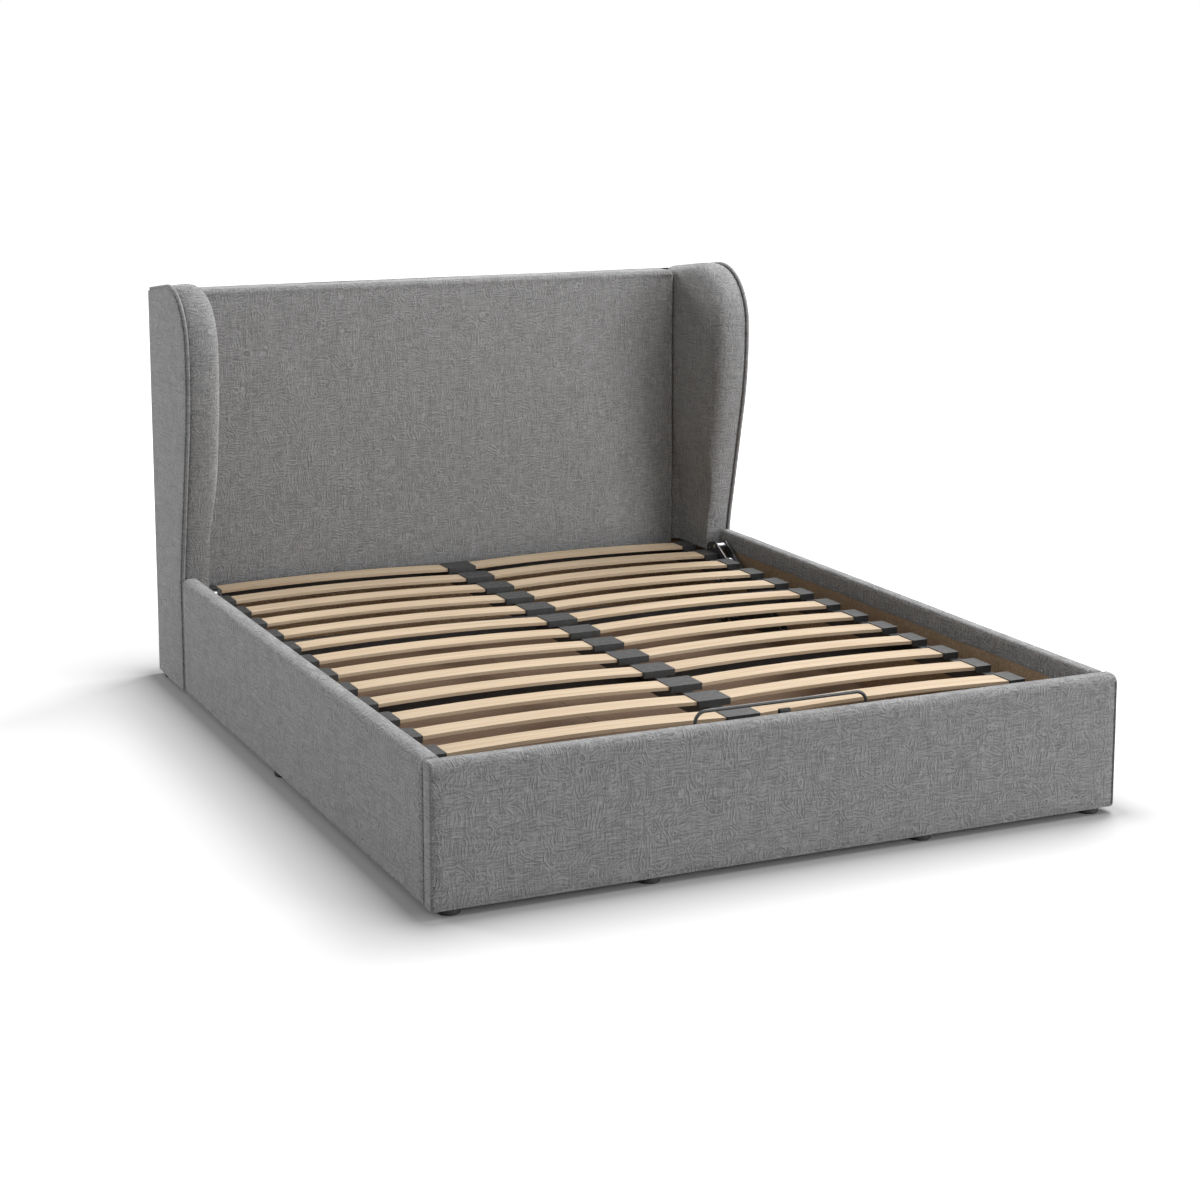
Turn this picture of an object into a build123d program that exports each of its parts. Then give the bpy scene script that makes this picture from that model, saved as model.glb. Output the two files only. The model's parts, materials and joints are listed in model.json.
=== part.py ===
from build123d import *
from math import hypot
import os

# Upholstered wingback bed frame: a slatted platform that lifts at its foot end over a storage base.
# X is right, +Y is towards the headboard, +Z is up, and the origin is on the floor under the middle.

# Overall sizes
bed_width = 1670.0
bed_length = 2150.0
floor_gap = 13.0
rail_top = 325.0
headboard_top = 1080.0

# Clearances and cutting allowance
overrun = 10.0
fit_gap = 0.3
seam_gap = 1.0
pin_clearance = 0.05

# Upholstered boards of the base
board = 22.0
rail_thickness = 40.0
footboard_thickness = 44.0
top_padding = 15.0
end_padding = 15.0
bottom_wrap = 4.0
top_outer_round = 14.0
top_inner_round = 7.0
bottom_round = 6.0
end_round = 7.5
rail_head_round = 12.0

# Wings: depths are measured forward from the back of the bed, thicknesses inward from its side
wing_foot_depth = 265.0
wing_top_depth = 375.0
wing_front_top = 1132.0
wing_flare_drop = 332.0
wing_back_drop = 46.0
wing_low_bend = 500.0
wing_high_bend = 1000.0
wing_corner_round = 170.0
wing_thickness = 100.0
wing_low_thickness = 80.0
wing_taper_low = 430.0
wing_taper_high = 620.0
wing_pad_low = 265.0
wing_roll = 42.0
wing_edge_padding = 18.0
wing_rail_gap = 6.0
wing_panel_thickness = 12.0
wing_panel_round = 3.0
piping_radius = 3.5

# Headboard, from its back forward
back_cloth = 3.0
back_cloth_inset = 7.0
frame_depth = 36.0
ply = 9.0
headboard_padding = 34.0
headboard_top_padding = 20.0
headboard_round = 16.0
headboard_back_round = 8.0
headboard_end_round = 14.0
headboard_gap = 2.0
headboard_pad_low = 230.0
cross_rail_height = 60.0
cross_rail_middle = 640.0
post_width = 43.0

# Storage base
ledge_width = 20.0
ledge_height = 22.0
base_board = 6.0
base_board_gap = 2.0
beam_width = 44.0

# Glide feet and their screws
glide_radius = 24.0
glide_round = 2.5
glide_corner_inset = 50.0
foot_glide_share = 0.4
beam_glide_share = 0.56
screw_radius = 2.5
screw_head_radius = 5.5
screw_head_height = 3.0
screw_length = 30.0

# Sprung platform
tube_width = 30.0
tube_height = 40.0
tube_wall = 2.0
platform_side_gap = 47.0
platform_bottom = 212.0
platform_foot_gap = 20.0
platform_head_gap = 18.0
cross_tube_share = 0.34
slat_count = 14
slat_width = 63.0
slat_thickness = 8.0
slat_crown = 9.0
slat_seat = 4.0
slat_end_wall = 4.0
slat_margin = 70.0
cap_length = 42.0
cap_width = 75.0
cap_height = 16.0
cap_round = 3.0
bar_radius = 4.0
bar_height = 90.0
bar_half = 210.0
bar_bend = 25.0
strap_width = 25.0
strap_thickness = 2.5
strap_loop_depth = 14.0
strap_loop_height = 105.0
strap_low = 225.0

# Lift linkage: each pivot as (distance forward from the back of the bed, height) with the platform down
front_pivot_reach = (520.0, 176.0)
front_link_reach = (325.0, 286.0)
rear_pivot_reach = (676.0, 100.0)
rear_link_reach = (387.0, 253.0)
strut_low_reach = (366.0, 78.0)
strut_high_reach = (294.0, 278.0)
plate_front_foot_reach = (393.0, 228.0)
plate_rear_foot_reach = (292.0, 228.0)
link_plate = 4.0
arm_thickness = 5.0
arm_radius = 15.0
rear_eye_radius = 19.0
rear_pin_play = 6.5
plate_margin = 18.0
plate_foot_margin = 10.0
link_pin_radius = 6.0
collar_radius = 9.0
layer_gap = 3.0
front_arm_gap = 5.0
hinge_bolt_offset = 45.0

# Gas struts
strut_radius = 7.5
strut_bore_radius = 6.0
strut_eye_radius = 13.0
strut_eye_width = 10.0
strut_pin_radius = 4.0
strut_collar_radius = 6.5
strut_pin_play = 5.5
strut_neck = 8.0
strut_floor = 26.0
strut_body_length = 160.0
gland_length = 8.0
rod_radius = 3.0
rod_end_gap = 11.0
piston_length = 8.0
piston_rest = 34.0

# Steel brackets, bolts and rests
bracket_leg = 60.0
bracket_plate = 3.0
bracket_bottom = 70.0
bracket_height = 200.0
bolt_radius = 4.0
bolt_head_radius = 7.0
bolt_head_height = 5.0
bolt_depth = 20.0
bolt_play = 0.2
rest_share = 0.54
rest_width = 60.0
rest_reach = 46.0
rest_drop = 55.0
buffer_height = 6.7
buffer_radius = 14.0

# Main planes of the bed
half_width = bed_width / 2
back_y = bed_length / 2
foot_y = -bed_length / 2
rail_inner_x = half_width - rail_thickness
board_outer_x = rail_inner_x + board
board_middle_x = rail_inner_x + board / 2
footboard_inner_y = foot_y + footboard_thickness
footboard_board_y = footboard_inner_y - board
footboard_board_half = half_width - end_padding
board_bottom = floor_gap + bottom_wrap
board_top = rail_top - top_padding
wing_front_y = back_y - wing_foot_depth
wing_flare_height = wing_front_top - wing_flare_drop
wing_back_top = wing_front_top - wing_back_drop
rail_head_y = wing_front_y - wing_rail_gap
rail_foot_y = footboard_inner_y + seam_gap
bracket_top = bracket_bottom + bracket_height
bolt_hole_radius = bolt_radius + bolt_play
screw_hole_radius = screw_radius + fit_gap

# Planes of the wings and the headboard
wing_inner_x = half_width - wing_thickness
wing_low_inner_x = half_width - wing_low_thickness
wing_panel_inner_x = half_width - wing_panel_thickness
wing_panel_inset = 2 * piping_radius + fit_gap
cloth_front_y = back_y - back_cloth
frame_front_y = cloth_front_y - frame_depth
frame_middle_y = frame_front_y + frame_depth / 2
ply_front_y = frame_front_y - ply
headboard_front_y = ply_front_y - headboard_padding
headboard_half = wing_inner_x - headboard_gap
frame_top = headboard_top - headboard_top_padding
post_inner_x = rail_inner_x - post_width

# Planes of the storage base and the platform
head_board_y = ply_front_y - board
ledge_bottom = board_bottom + seam_gap
ledge_top = ledge_bottom + ledge_height
base_top = ledge_top + base_board
platform_half = rail_inner_x - platform_side_gap
platform_top = platform_bottom + tube_height
platform_foot_y = footboard_inner_y + platform_foot_gap
platform_head_y = headboard_front_y - platform_head_gap
side_tube_inner_x = platform_half - tube_width
slat_span = platform_head_y - platform_foot_y - 2 * slat_margin
slat_pitch = slat_span / (slat_count - 1)
slat_middle_y = (platform_head_y + platform_foot_y) / 2
cross_tube_offset = cross_tube_share * slat_span / 2
rest_x = rest_share * half_width

# Layers of the linkage between the rail and the platform
hinge_plate_inner_x = rail_inner_x - link_plate
front_arm_outer_x = hinge_plate_inner_x - front_arm_gap
front_arm_inner_x = front_arm_outer_x - arm_thickness
rear_arm_outer_x = front_arm_inner_x - layer_gap
rear_arm_inner_x = rear_arm_outer_x - arm_thickness
lift_plate_outer_x = platform_half + link_plate
strut_x = lift_plate_outer_x + layer_gap + strut_radius
eye_inner_x = strut_x - strut_eye_width / 2
eye_outer_x = strut_x + strut_eye_width / 2


def from_back(reach):
    """The (Y, Z) place of a (distance forward from the back of the bed, height) pair."""
    return (back_y - reach[0], reach[1])


def side_plane(x):
    """The YZ plane at a given X: its local x is +Y and its local y is +Z."""
    return Plane.YZ.offset(x)


def end_plane(y):
    """The XZ plane at a given Y, facing the headboard: its local x is -X and its local y is +Z."""
    return Plane((0, y, 0), x_dir=(-1, 0, 0), z_dir=(0, 1, 0))


def inward_planes(x, places):
    """Planes at the same (Y, Z) places on the right and left of the bed, facing its middle."""
    return [Plane((side * x, y, z), z_dir=(-side, 0, 0)) for side in (1, -1) for y, z in places]


def both_sides(places):
    """The given (X, other) places and their mirror images in X."""
    return [(side * x, other) for side in (1, -1) for x, other in places]


def wing_edge(inset):
    """The wing's front and top edge in the side plane, drawn in by an inset."""
    front = back_y - wing_foot_depth + inset
    flare = back_y - wing_top_depth + inset
    with BuildLine() as edge:
        FilletPolyline(
            (front, floor_gap),
            (front, rail_top),
            (flare, wing_flare_height),
            (flare, wing_front_top - inset),
            (cloth_front_y, wing_back_top - inset),
            radius=[wing_low_bend, wing_high_bend - inset, wing_corner_round - inset],
        )
    return edge.wire()


def wing_outline(inset):
    """The wing's side outline as a face, closed along its back and its bottom."""
    edge = wing_edge(inset)
    with BuildSketch() as outline:
        with BuildLine():
            add(edge)
            Polyline(edge @ 1, (cloth_front_y, floor_gap), edge @ 0)
        make_face()
    return outline.sketch


def side_hull(circles):
    """The tight outline round (centre, radius) circles in the side plane."""
    with BuildSketch() as outline:
        for centre, radius in circles:
            with Locations(centre):
                Circle(radius)
        make_hull()
    return outline.sketch


def box_between(low, high, mode=Mode.ADD):
    """A box given by its lowest and highest corners."""
    size = [b - a for a, b in zip(low, high)]
    middle = [(a + b) / 2 for a, b in zip(low, high)]
    with Locations(tuple(middle)):
        Box(*size, mode=mode)


# Pivots of the linkage in the side plane, with the platform down
front_pivot = from_back(front_pivot_reach)
front_link_pivot = from_back(front_link_reach)
rear_pivot = from_back(rear_pivot_reach)
rear_link_pivot = from_back(rear_link_reach)
strut_low_pivot = from_back(strut_low_reach)
strut_high_pivot = from_back(strut_high_reach)

# Where screws and bolts go in
foot_glides = both_sides(
    [
        (half_width - glide_corner_inset, footboard_inner_y - board / 2),
        (foot_glide_share * half_width, footboard_inner_y - board / 2),
    ]
)
rail_glide = (board_middle_x, 0)
wing_glide = (board_middle_x, back_y - glide_corner_inset)
beam_glides = [(0, share * back_y) for share in (-beam_glide_share, 0, beam_glide_share)]
glides = foot_glides + both_sides([rail_glide, wing_glide]) + beam_glides

bracket_levels = [bracket_bottom + bracket_leg / 2, bracket_top - bracket_leg / 2]
foot_bolts = both_sides(
    [(rail_inner_x - bracket_leg / 2, z) for z in bracket_levels]
    + [(rest_x + offset, platform_bottom - rest_drop / 2) for offset in (-rest_width / 4, rest_width / 4)]
)
bracket_rail_bolts = [(footboard_inner_y + bracket_leg / 2, z) for z in bracket_levels]
joiner_levels = [bracket_bottom + bracket_leg / 2, bracket_top - bracket_leg]
joiner_rail_bolts = [(rail_head_y - bracket_leg / 2, z) for z in joiner_levels]
joiner_wing_bolts = [(wing_front_y + bracket_leg / 2, z) for z in joiner_levels]
plate_bolts = [
    (rear_pivot[0] + hinge_bolt_offset, rear_pivot[1]),
    (front_pivot[0] - hinge_bolt_offset, front_pivot[1] - hinge_bolt_offset / 2),
    (strut_low_pivot[0] - hinge_bolt_offset, strut_low_pivot[1] + hinge_bolt_offset / 2),
]
post_bolts = [(frame_middle_y, z) for z in (bracket_top, wing_taper_high, wing_flare_height)]

# Footboard: a board wrapped in padding over its front, top, ends and bottom edge
with BuildPart() as footboard_cover:
    with BuildSketch(side_plane(-half_width)):
        with BuildLine():
            FilletPolyline(
                (footboard_inner_y, floor_gap),
                (foot_y, floor_gap),
                (foot_y, rail_top),
                (footboard_inner_y, rail_top),
                radius=[bottom_round, top_outer_round],
            )
            Line((footboard_inner_y, rail_top), (footboard_inner_y, floor_gap))
        make_face()
    extrude(amount=bed_width)
    fillet(footboard_cover.edges().filter_by(Axis.Z), end_round)
    top_edges = footboard_cover.edges().filter_by(Axis.X).group_by(Axis.Z)[-1]
    fillet(top_edges.sort_by(Axis.Y)[-1], top_inner_round)
    box_between(
        (-footboard_board_half, footboard_board_y, board_bottom),
        (footboard_board_half, footboard_inner_y + overrun, board_top),
        mode=Mode.SUBTRACT,
    )
    with Locations(*[(x, y, floor_gap) for x, y in foot_glides]):
        Cylinder(screw_hole_radius, 2 * bottom_wrap + overrun, mode=Mode.SUBTRACT)

with BuildPart() as footboard_board:
    box_between(
        (-footboard_board_half, footboard_board_y, board_bottom),
        (footboard_board_half, footboard_inner_y, board_top),
    )
    with Locations(*[(x, y, board_bottom) for x, y in foot_glides]):
        Cylinder(screw_hole_radius, 2 * screw_length, mode=Mode.SUBTRACT)
    with BuildSketch(end_plane(footboard_inner_y)):
        with Locations(*foot_bolts):
            Circle(bolt_hole_radius)
    extrude(amount=-bolt_depth, mode=Mode.SUBTRACT)

# Side rails: a board with padding over its outer face, top and bottom edge
with BuildPart() as right_rail_cover:
    with BuildSketch(end_plane(rail_foot_y)):
        with BuildLine():
            FilletPolyline(
                (-rail_inner_x, floor_gap),
                (-half_width, floor_gap),
                (-half_width, rail_top),
                (-rail_inner_x, rail_top),
                radius=[bottom_round, top_outer_round],
            )
            Line((-rail_inner_x, rail_top), (-rail_inner_x, floor_gap))
        make_face()
    extrude(amount=rail_head_y - rail_foot_y)
    head_edges = right_rail_cover.edges().filter_by(Axis.Z).group_by(Axis.Y)[-1]
    fillet(head_edges.sort_by(Axis.X)[-1], rail_head_round)
    top_edges = right_rail_cover.edges().filter_by(Axis.Y).group_by(Axis.Z)[-1]
    fillet(top_edges.sort_by(Axis.X)[0], top_inner_round)
    box_between(
        (rail_inner_x - overrun, rail_foot_y - overrun, board_bottom),
        (board_outer_x, rail_head_y - top_padding, board_top),
        mode=Mode.SUBTRACT,
    )
    with Locations((*rail_glide, floor_gap)):
        Cylinder(screw_hole_radius, 2 * bottom_wrap + overrun, mode=Mode.SUBTRACT)

with BuildPart() as right_rail_board:
    box_between(
        (rail_inner_x, rail_foot_y, board_bottom),
        (board_outer_x, rail_head_y - top_padding, board_top),
    )
    with Locations((*rail_glide, board_bottom)):
        Cylinder(screw_hole_radius, 2 * screw_length, mode=Mode.SUBTRACT)
    with BuildSketch(side_plane(rail_inner_x)):
        with Locations(*bracket_rail_bolts, *plate_bolts, *joiner_rail_bolts):
            Circle(bolt_hole_radius)
    extrude(amount=bolt_depth, mode=Mode.SUBTRACT)

# Wings: a shaped board, padding rolled over its front and top, a flat outer panel and its piping
with BuildPart() as right_wing_board:
    with BuildSketch(side_plane(rail_inner_x)):
        add(wing_outline(wing_edge_padding))
        with Locations(*joiner_wing_bolts, *post_bolts):
            Circle(bolt_hole_radius, mode=Mode.SUBTRACT)
    extrude(amount=board)
    with Locations((*wing_glide, floor_gap)):
        Cylinder(screw_hole_radius, 2 * screw_length, mode=Mode.SUBTRACT)

with BuildPart() as right_wing_pad:
    with BuildSketch(side_plane(wing_inner_x)):
        add(wing_outline(0))
    extrude(amount=wing_thickness - wing_panel_thickness)
    roll_edges = [
        edge
        for edge in right_wing_pad.faces().sort_by(Axis.X)[0].edges()
        if edge.center().Y < cloth_front_y - overrun and edge.center().Z > floor_gap + overrun
    ]
    fillet(roll_edges, wing_roll)
    box_between(
        (wing_inner_x - overrun, foot_y, 0),
        (rail_inner_x, back_y, wing_pad_low),
        mode=Mode.SUBTRACT,
    )
    with BuildSketch(end_plane(foot_y)):
        Polygon(
            (-wing_inner_x + overrun, wing_taper_high),
            (-wing_inner_x, wing_taper_high),
            (-wing_low_inner_x, wing_taper_low),
            (-wing_low_inner_x, 0),
            (-wing_inner_x + overrun, 0),
            align=None,
        )
    extrude(amount=headboard_front_y - foot_y, mode=Mode.SUBTRACT)
    box_between(
        (wing_inner_x - overrun, ply_front_y, 0),
        (rail_inner_x, back_y, frame_top),
        mode=Mode.SUBTRACT,
    )
    with BuildSketch(side_plane(rail_inner_x)):
        add(wing_outline(wing_edge_padding))
    extrude(amount=board, mode=Mode.SUBTRACT)

with BuildPart() as right_wing_panel:
    with BuildSketch(side_plane(wing_panel_inner_x)):
        add(wing_outline(wing_panel_inset))
    extrude(amount=wing_panel_thickness)
    fillet(right_wing_panel.faces().sort_by(Axis.X)[-1].edges(), wing_panel_round)

with BuildPart() as right_wing_piping:
    piping_path = side_plane(wing_panel_inner_x + piping_radius) * wing_edge(piping_radius)
    with BuildSketch(Plane(piping_path @ 0, z_dir=piping_path % 0)):
        Circle(piping_radius)
    sweep(path=piping_path)

# Headboard: timber posts and cross rails behind a ply face, a padded front and a cloth back
with BuildPart() as headboard_posts:
    for side in (-1, 1):
        low_x, high_x = sorted((side * post_inner_x, side * rail_inner_x))
        box_between((low_x, frame_front_y, floor_gap), (high_x, cloth_front_y, frame_top))
    with BuildSketch(side_plane(-half_width)):
        with Locations(*post_bolts):
            Circle(bolt_hole_radius)
    extrude(amount=bed_width, mode=Mode.SUBTRACT)

with BuildPart() as headboard_cross_rails:
    for low_z in (floor_gap, cross_rail_middle, frame_top - cross_rail_height):
        box_between(
            (-post_inner_x, frame_front_y, low_z),
            (post_inner_x, cloth_front_y, low_z + cross_rail_height),
        )

with BuildPart() as headboard_ply:
    box_between((-rail_inner_x, ply_front_y, floor_gap), (rail_inner_x, frame_front_y, frame_top))

with BuildPart() as headboard_pad:
    with BuildSketch(side_plane(-headboard_half)):
        Polygon(
            (headboard_front_y, headboard_pad_low),
            (headboard_front_y, headboard_top),
            (cloth_front_y, headboard_top),
            (cloth_front_y, frame_top),
            (ply_front_y, frame_top),
            (ply_front_y, headboard_pad_low),
            align=None,
        )
    extrude(amount=2 * headboard_half)
    top_edges = headboard_pad.edges().filter_by(Axis.X).group_by(Axis.Z)[-1].sort_by(Axis.Y)
    fillet(top_edges[0], headboard_round)
    fillet(top_edges[-1], headboard_back_round)
    fillet(headboard_pad.edges().filter_by(Axis.Z).group_by(Axis.Y)[0], headboard_end_round)

with BuildPart() as headboard_back_cloth:
    box_between(
        (back_cloth_inset - half_width, cloth_front_y, floor_gap + back_cloth_inset),
        (half_width - back_cloth_inset, back_y, headboard_top),
    )

# Storage base: a head board, ledges round the inside, a middle beam and two floor boards
with BuildPart() as base_head_board:
    box_between(
        (-rail_inner_x, head_board_y, floor_gap),
        (rail_inner_x, ply_front_y, headboard_pad_low - headboard_gap),
    )

with BuildPart() as side_ledges:
    for side in (-1, 1):
        low_x, high_x = sorted((side * (rail_inner_x - ledge_width), side * rail_inner_x))
        box_between((low_x, rail_foot_y, ledge_bottom), (high_x, head_board_y, ledge_top))

ledge_inner_x = rail_inner_x - ledge_width
with BuildPart() as end_ledges:
    box_between(
        (-ledge_inner_x, footboard_inner_y, ledge_bottom),
        (ledge_inner_x, footboard_inner_y + ledge_width, ledge_top),
    )
    box_between(
        (-ledge_inner_x, head_board_y - ledge_width, ledge_bottom),
        (ledge_inner_x, head_board_y, ledge_top),
    )

with BuildPart() as middle_beam:
    box_between(
        (-beam_width / 2, footboard_inner_y + ledge_width, floor_gap),
        (beam_width / 2, head_board_y - ledge_width, ledge_top),
    )
    with Locations(*[(x, y, floor_gap) for x, y in beam_glides]):
        Cylinder(screw_hole_radius, 2 * screw_length, mode=Mode.SUBTRACT)

with BuildPart() as right_base_board:
    box_between(
        (base_board_gap / 2, footboard_inner_y + base_board_gap, ledge_top),
        (rail_inner_x - base_board_gap, head_board_y - base_board_gap, base_top),
    )

# Glide feet: low round discs, each held by a countersunk screw
with BuildPart() as glide_feet:
    with BuildSketch():
        with Locations(*glides):
            Circle(glide_radius)
            Circle(screw_hole_radius, mode=Mode.SUBTRACT)
    extrude(amount=floor_gap)
    rim = glide_feet.edges().filter_by(GeomType.CIRCLE).group_by(Axis.Z)[0]
    fillet([edge for edge in rim if edge.radius > screw_head_radius], glide_round)
    with Locations(*[(x, y, screw_head_height / 2) for x, y in glides]):
        Cylinder(screw_head_radius + fit_gap, screw_head_height + 2 * fit_gap, mode=Mode.SUBTRACT)

with BuildPart() as glide_screws:
    with BuildSketch(Plane.XY.offset(fit_gap)):
        with Locations(*glides):
            Circle(screw_head_radius)
    extrude(amount=screw_head_height)
    with BuildSketch(Plane.XY.offset(fit_gap)):
        with Locations(*glides):
            Circle(screw_radius)
    extrude(amount=screw_length)

# Corner brackets at the foot, joining plates at the wings, and rests for the platform
with BuildPart() as right_corner_bracket:
    box_between(
        (rail_inner_x - bracket_leg, footboard_inner_y, bracket_bottom),
        (rail_inner_x, footboard_inner_y + bracket_plate, bracket_top),
    )
    box_between(
        (rail_inner_x - bracket_plate, footboard_inner_y, bracket_bottom),
        (rail_inner_x, footboard_inner_y + bracket_leg, bracket_top),
    )
    with BuildSketch(end_plane(footboard_inner_y)):
        with Locations(*foot_bolts):
            Circle(bolt_hole_radius)
    extrude(amount=bracket_plate, mode=Mode.SUBTRACT)
    with BuildSketch(side_plane(rail_inner_x - bracket_plate)):
        with Locations(*bracket_rail_bolts):
            Circle(bolt_hole_radius)
    extrude(amount=bracket_plate, mode=Mode.SUBTRACT)

with BuildPart() as right_wing_joiner:
    box_between(
        (hinge_plate_inner_x, rail_head_y - bracket_leg, bracket_bottom),
        (rail_inner_x, wing_front_y + bracket_leg, bracket_top - bracket_leg / 2),
    )
    with BuildSketch(side_plane(hinge_plate_inner_x)):
        with Locations(*joiner_rail_bolts, *joiner_wing_bolts):
            Circle(bolt_hole_radius)
    extrude(amount=link_plate, mode=Mode.SUBTRACT)

rest_top = platform_bottom - fit_gap - buffer_height
with BuildPart() as platform_rests:
    for side in (-1, 1):
        low_x, high_x = side * rest_x - rest_width / 2, side * rest_x + rest_width / 2
        box_between(
            (low_x, footboard_inner_y, platform_bottom - rest_drop),
            (high_x, footboard_inner_y + bracket_plate, rest_top),
        )
        box_between(
            (low_x, footboard_inner_y, rest_top - bracket_plate),
            (high_x, footboard_inner_y + rest_reach, rest_top),
        )
    with BuildSketch(end_plane(footboard_inner_y)):
        with Locations(*foot_bolts):
            Circle(bolt_hole_radius)
    extrude(amount=bracket_plate, mode=Mode.SUBTRACT)

with BuildPart() as rest_buffers:
    with BuildSketch(Plane.XY.offset(rest_top)):
        with Locations(*both_sides([(rest_x, platform_foot_y + tube_width / 2)])):
            Circle(buffer_radius)
    extrude(amount=buffer_height)

foot_bolt_planes = [Plane((x, footboard_inner_y + bracket_plate, z), z_dir=(0, 1, 0)) for x, z in foot_bolts]
side_bolt_planes = (
    foot_bolt_planes
    + inward_planes(rail_inner_x - bracket_plate, bracket_rail_bolts)
    + inward_planes(hinge_plate_inner_x, plate_bolts + joiner_rail_bolts + joiner_wing_bolts)
)
with BuildPart() as base_bolts:
    with BuildSketch(*side_bolt_planes):
        RegularPolygon(bolt_head_radius, 6)
    extrude(amount=bolt_head_height)
    with BuildSketch(*side_bolt_planes):
        Circle(bolt_radius)
    extrude(amount=-bolt_depth)

with BuildPart() as wing_bolts:
    with BuildSketch(*inward_planes(post_inner_x, post_bolts)):
        RegularPolygon(bolt_head_radius, 6)
    extrude(amount=bolt_head_height)
    with BuildSketch(*inward_planes(post_inner_x, post_bolts)):
        Circle(bolt_radius)
    extrude(amount=-(post_width + bolt_depth))

# Lift linkage, right side: a hinge plate on the rail, its pins, two arms and a plate on the platform
with BuildPart() as right_hinge_plate:
    with BuildSketch(side_plane(hinge_plate_inner_x)):
        add(side_hull([(place, plate_margin) for place in (front_pivot, rear_pivot, strut_low_pivot)]))
        with Locations(front_pivot, rear_pivot):
            Circle(link_pin_radius + pin_clearance, mode=Mode.SUBTRACT)
        with Locations(strut_low_pivot):
            Circle(strut_pin_radius + pin_clearance, mode=Mode.SUBTRACT)
        with Locations(*plate_bolts):
            Circle(bolt_hole_radius, mode=Mode.SUBTRACT)
    extrude(amount=link_plate)

with BuildPart() as right_hinge_pins:
    for place, radius, end_x in (
        (front_pivot, link_pin_radius, front_arm_inner_x),
        (rear_pivot, link_pin_radius, rear_arm_inner_x),
        (strut_low_pivot, strut_pin_radius, eye_inner_x),
    ):
        with BuildSketch(side_plane(end_x)):
            with Locations(place):
                Circle(radius)
        extrude(amount=rail_inner_x - end_x)
    for place, radius, end_x in (
        (front_pivot, collar_radius, front_arm_outer_x),
        (rear_pivot, collar_radius, rear_arm_outer_x),
        (strut_low_pivot, strut_collar_radius, eye_outer_x),
    ):
        with BuildSketch(side_plane(end_x + fit_gap)):
            with Locations(place):
                Circle(radius)
        extrude(amount=hinge_plate_inner_x - end_x - fit_gap)

with BuildPart() as right_front_arm:
    with BuildSketch(side_plane(front_arm_inner_x)):
        add(side_hull([(front_pivot, arm_radius), (front_link_pivot, arm_radius)]))
        with Locations(front_pivot, front_link_pivot):
            Circle(link_pin_radius + pin_clearance, mode=Mode.SUBTRACT)
    extrude(amount=arm_thickness)

with BuildPart() as right_rear_arm:
    with BuildSketch(side_plane(rear_arm_inner_x)):
        add(side_hull([(rear_pivot, arm_radius), (rear_link_pivot, rear_eye_radius)]))
        with Locations(rear_pivot):
            Circle(link_pin_radius + pin_clearance, mode=Mode.SUBTRACT)
        with Locations(rear_link_pivot):
            Circle(link_pin_radius + rear_pin_play, mode=Mode.SUBTRACT)
    extrude(amount=arm_thickness)

with BuildPart() as right_lift_plate:
    with BuildSketch(side_plane(platform_half)):
        pivots = [(place, arm_radius) for place in (front_link_pivot, rear_link_pivot, strut_high_pivot)]
        feet = [from_back(reach) for reach in (plate_front_foot_reach, plate_rear_foot_reach)]
        add(side_hull(pivots + [(place, plate_foot_margin) for place in feet]))
        with Locations(front_link_pivot, rear_link_pivot):
            Circle(link_pin_radius + pin_clearance, mode=Mode.SUBTRACT)
        with Locations(strut_high_pivot):
            Circle(strut_pin_radius + pin_clearance, mode=Mode.SUBTRACT)
    extrude(amount=link_plate)

with BuildPart() as right_lift_pins:
    for place, radius, end_x in (
        (front_link_pivot, link_pin_radius, front_arm_outer_x),
        (rear_link_pivot, link_pin_radius, rear_arm_outer_x + seam_gap),
        (strut_high_pivot, strut_pin_radius, eye_outer_x),
    ):
        with BuildSketch(side_plane(platform_half)):
            with Locations(place):
                Circle(radius)
        extrude(amount=end_x - platform_half)
    for place, radius, end_x in (
        (front_link_pivot, collar_radius, front_arm_inner_x),
        (rear_link_pivot, collar_radius, rear_arm_inner_x),
        (strut_high_pivot, strut_collar_radius, eye_inner_x),
    ):
        with BuildSketch(side_plane(lift_plate_outer_x)):
            with Locations(place):
                Circle(radius)
        extrude(amount=end_x - lift_plate_outer_x - fit_gap)

# Gas strut, right side: a cylinder from the hinge plate and a rod from the platform's plate
strut_run = (strut_high_pivot[0] - strut_low_pivot[0], strut_high_pivot[1] - strut_low_pivot[1])
strut_length = hypot(*strut_run)
strut_plane = Plane((strut_x, *strut_low_pivot), x_dir=(1, 0, 0), z_dir=(0, *strut_run))

with BuildPart() as right_strut_cylinder:
    with BuildSketch(strut_plane.offset(strut_neck)):
        Circle(strut_radius)
    extrude(amount=strut_body_length - strut_neck)
    with BuildSketch(side_plane(eye_inner_x)):
        with Locations(strut_low_pivot):
            Circle(strut_eye_radius)
    extrude(amount=strut_eye_width)
    with BuildSketch(strut_plane.offset(strut_floor)):
        Circle(strut_bore_radius)
    extrude(amount=strut_body_length - strut_floor - gland_length, mode=Mode.SUBTRACT)
    with BuildSketch(strut_plane.offset(strut_floor)):
        Circle(rod_radius + pin_clearance)
    extrude(amount=strut_body_length - strut_floor, mode=Mode.SUBTRACT)
    with BuildSketch(side_plane(eye_inner_x)):
        with Locations(strut_low_pivot):
            Circle(strut_pin_radius + pin_clearance)
    extrude(amount=strut_eye_width, mode=Mode.SUBTRACT)

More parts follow.
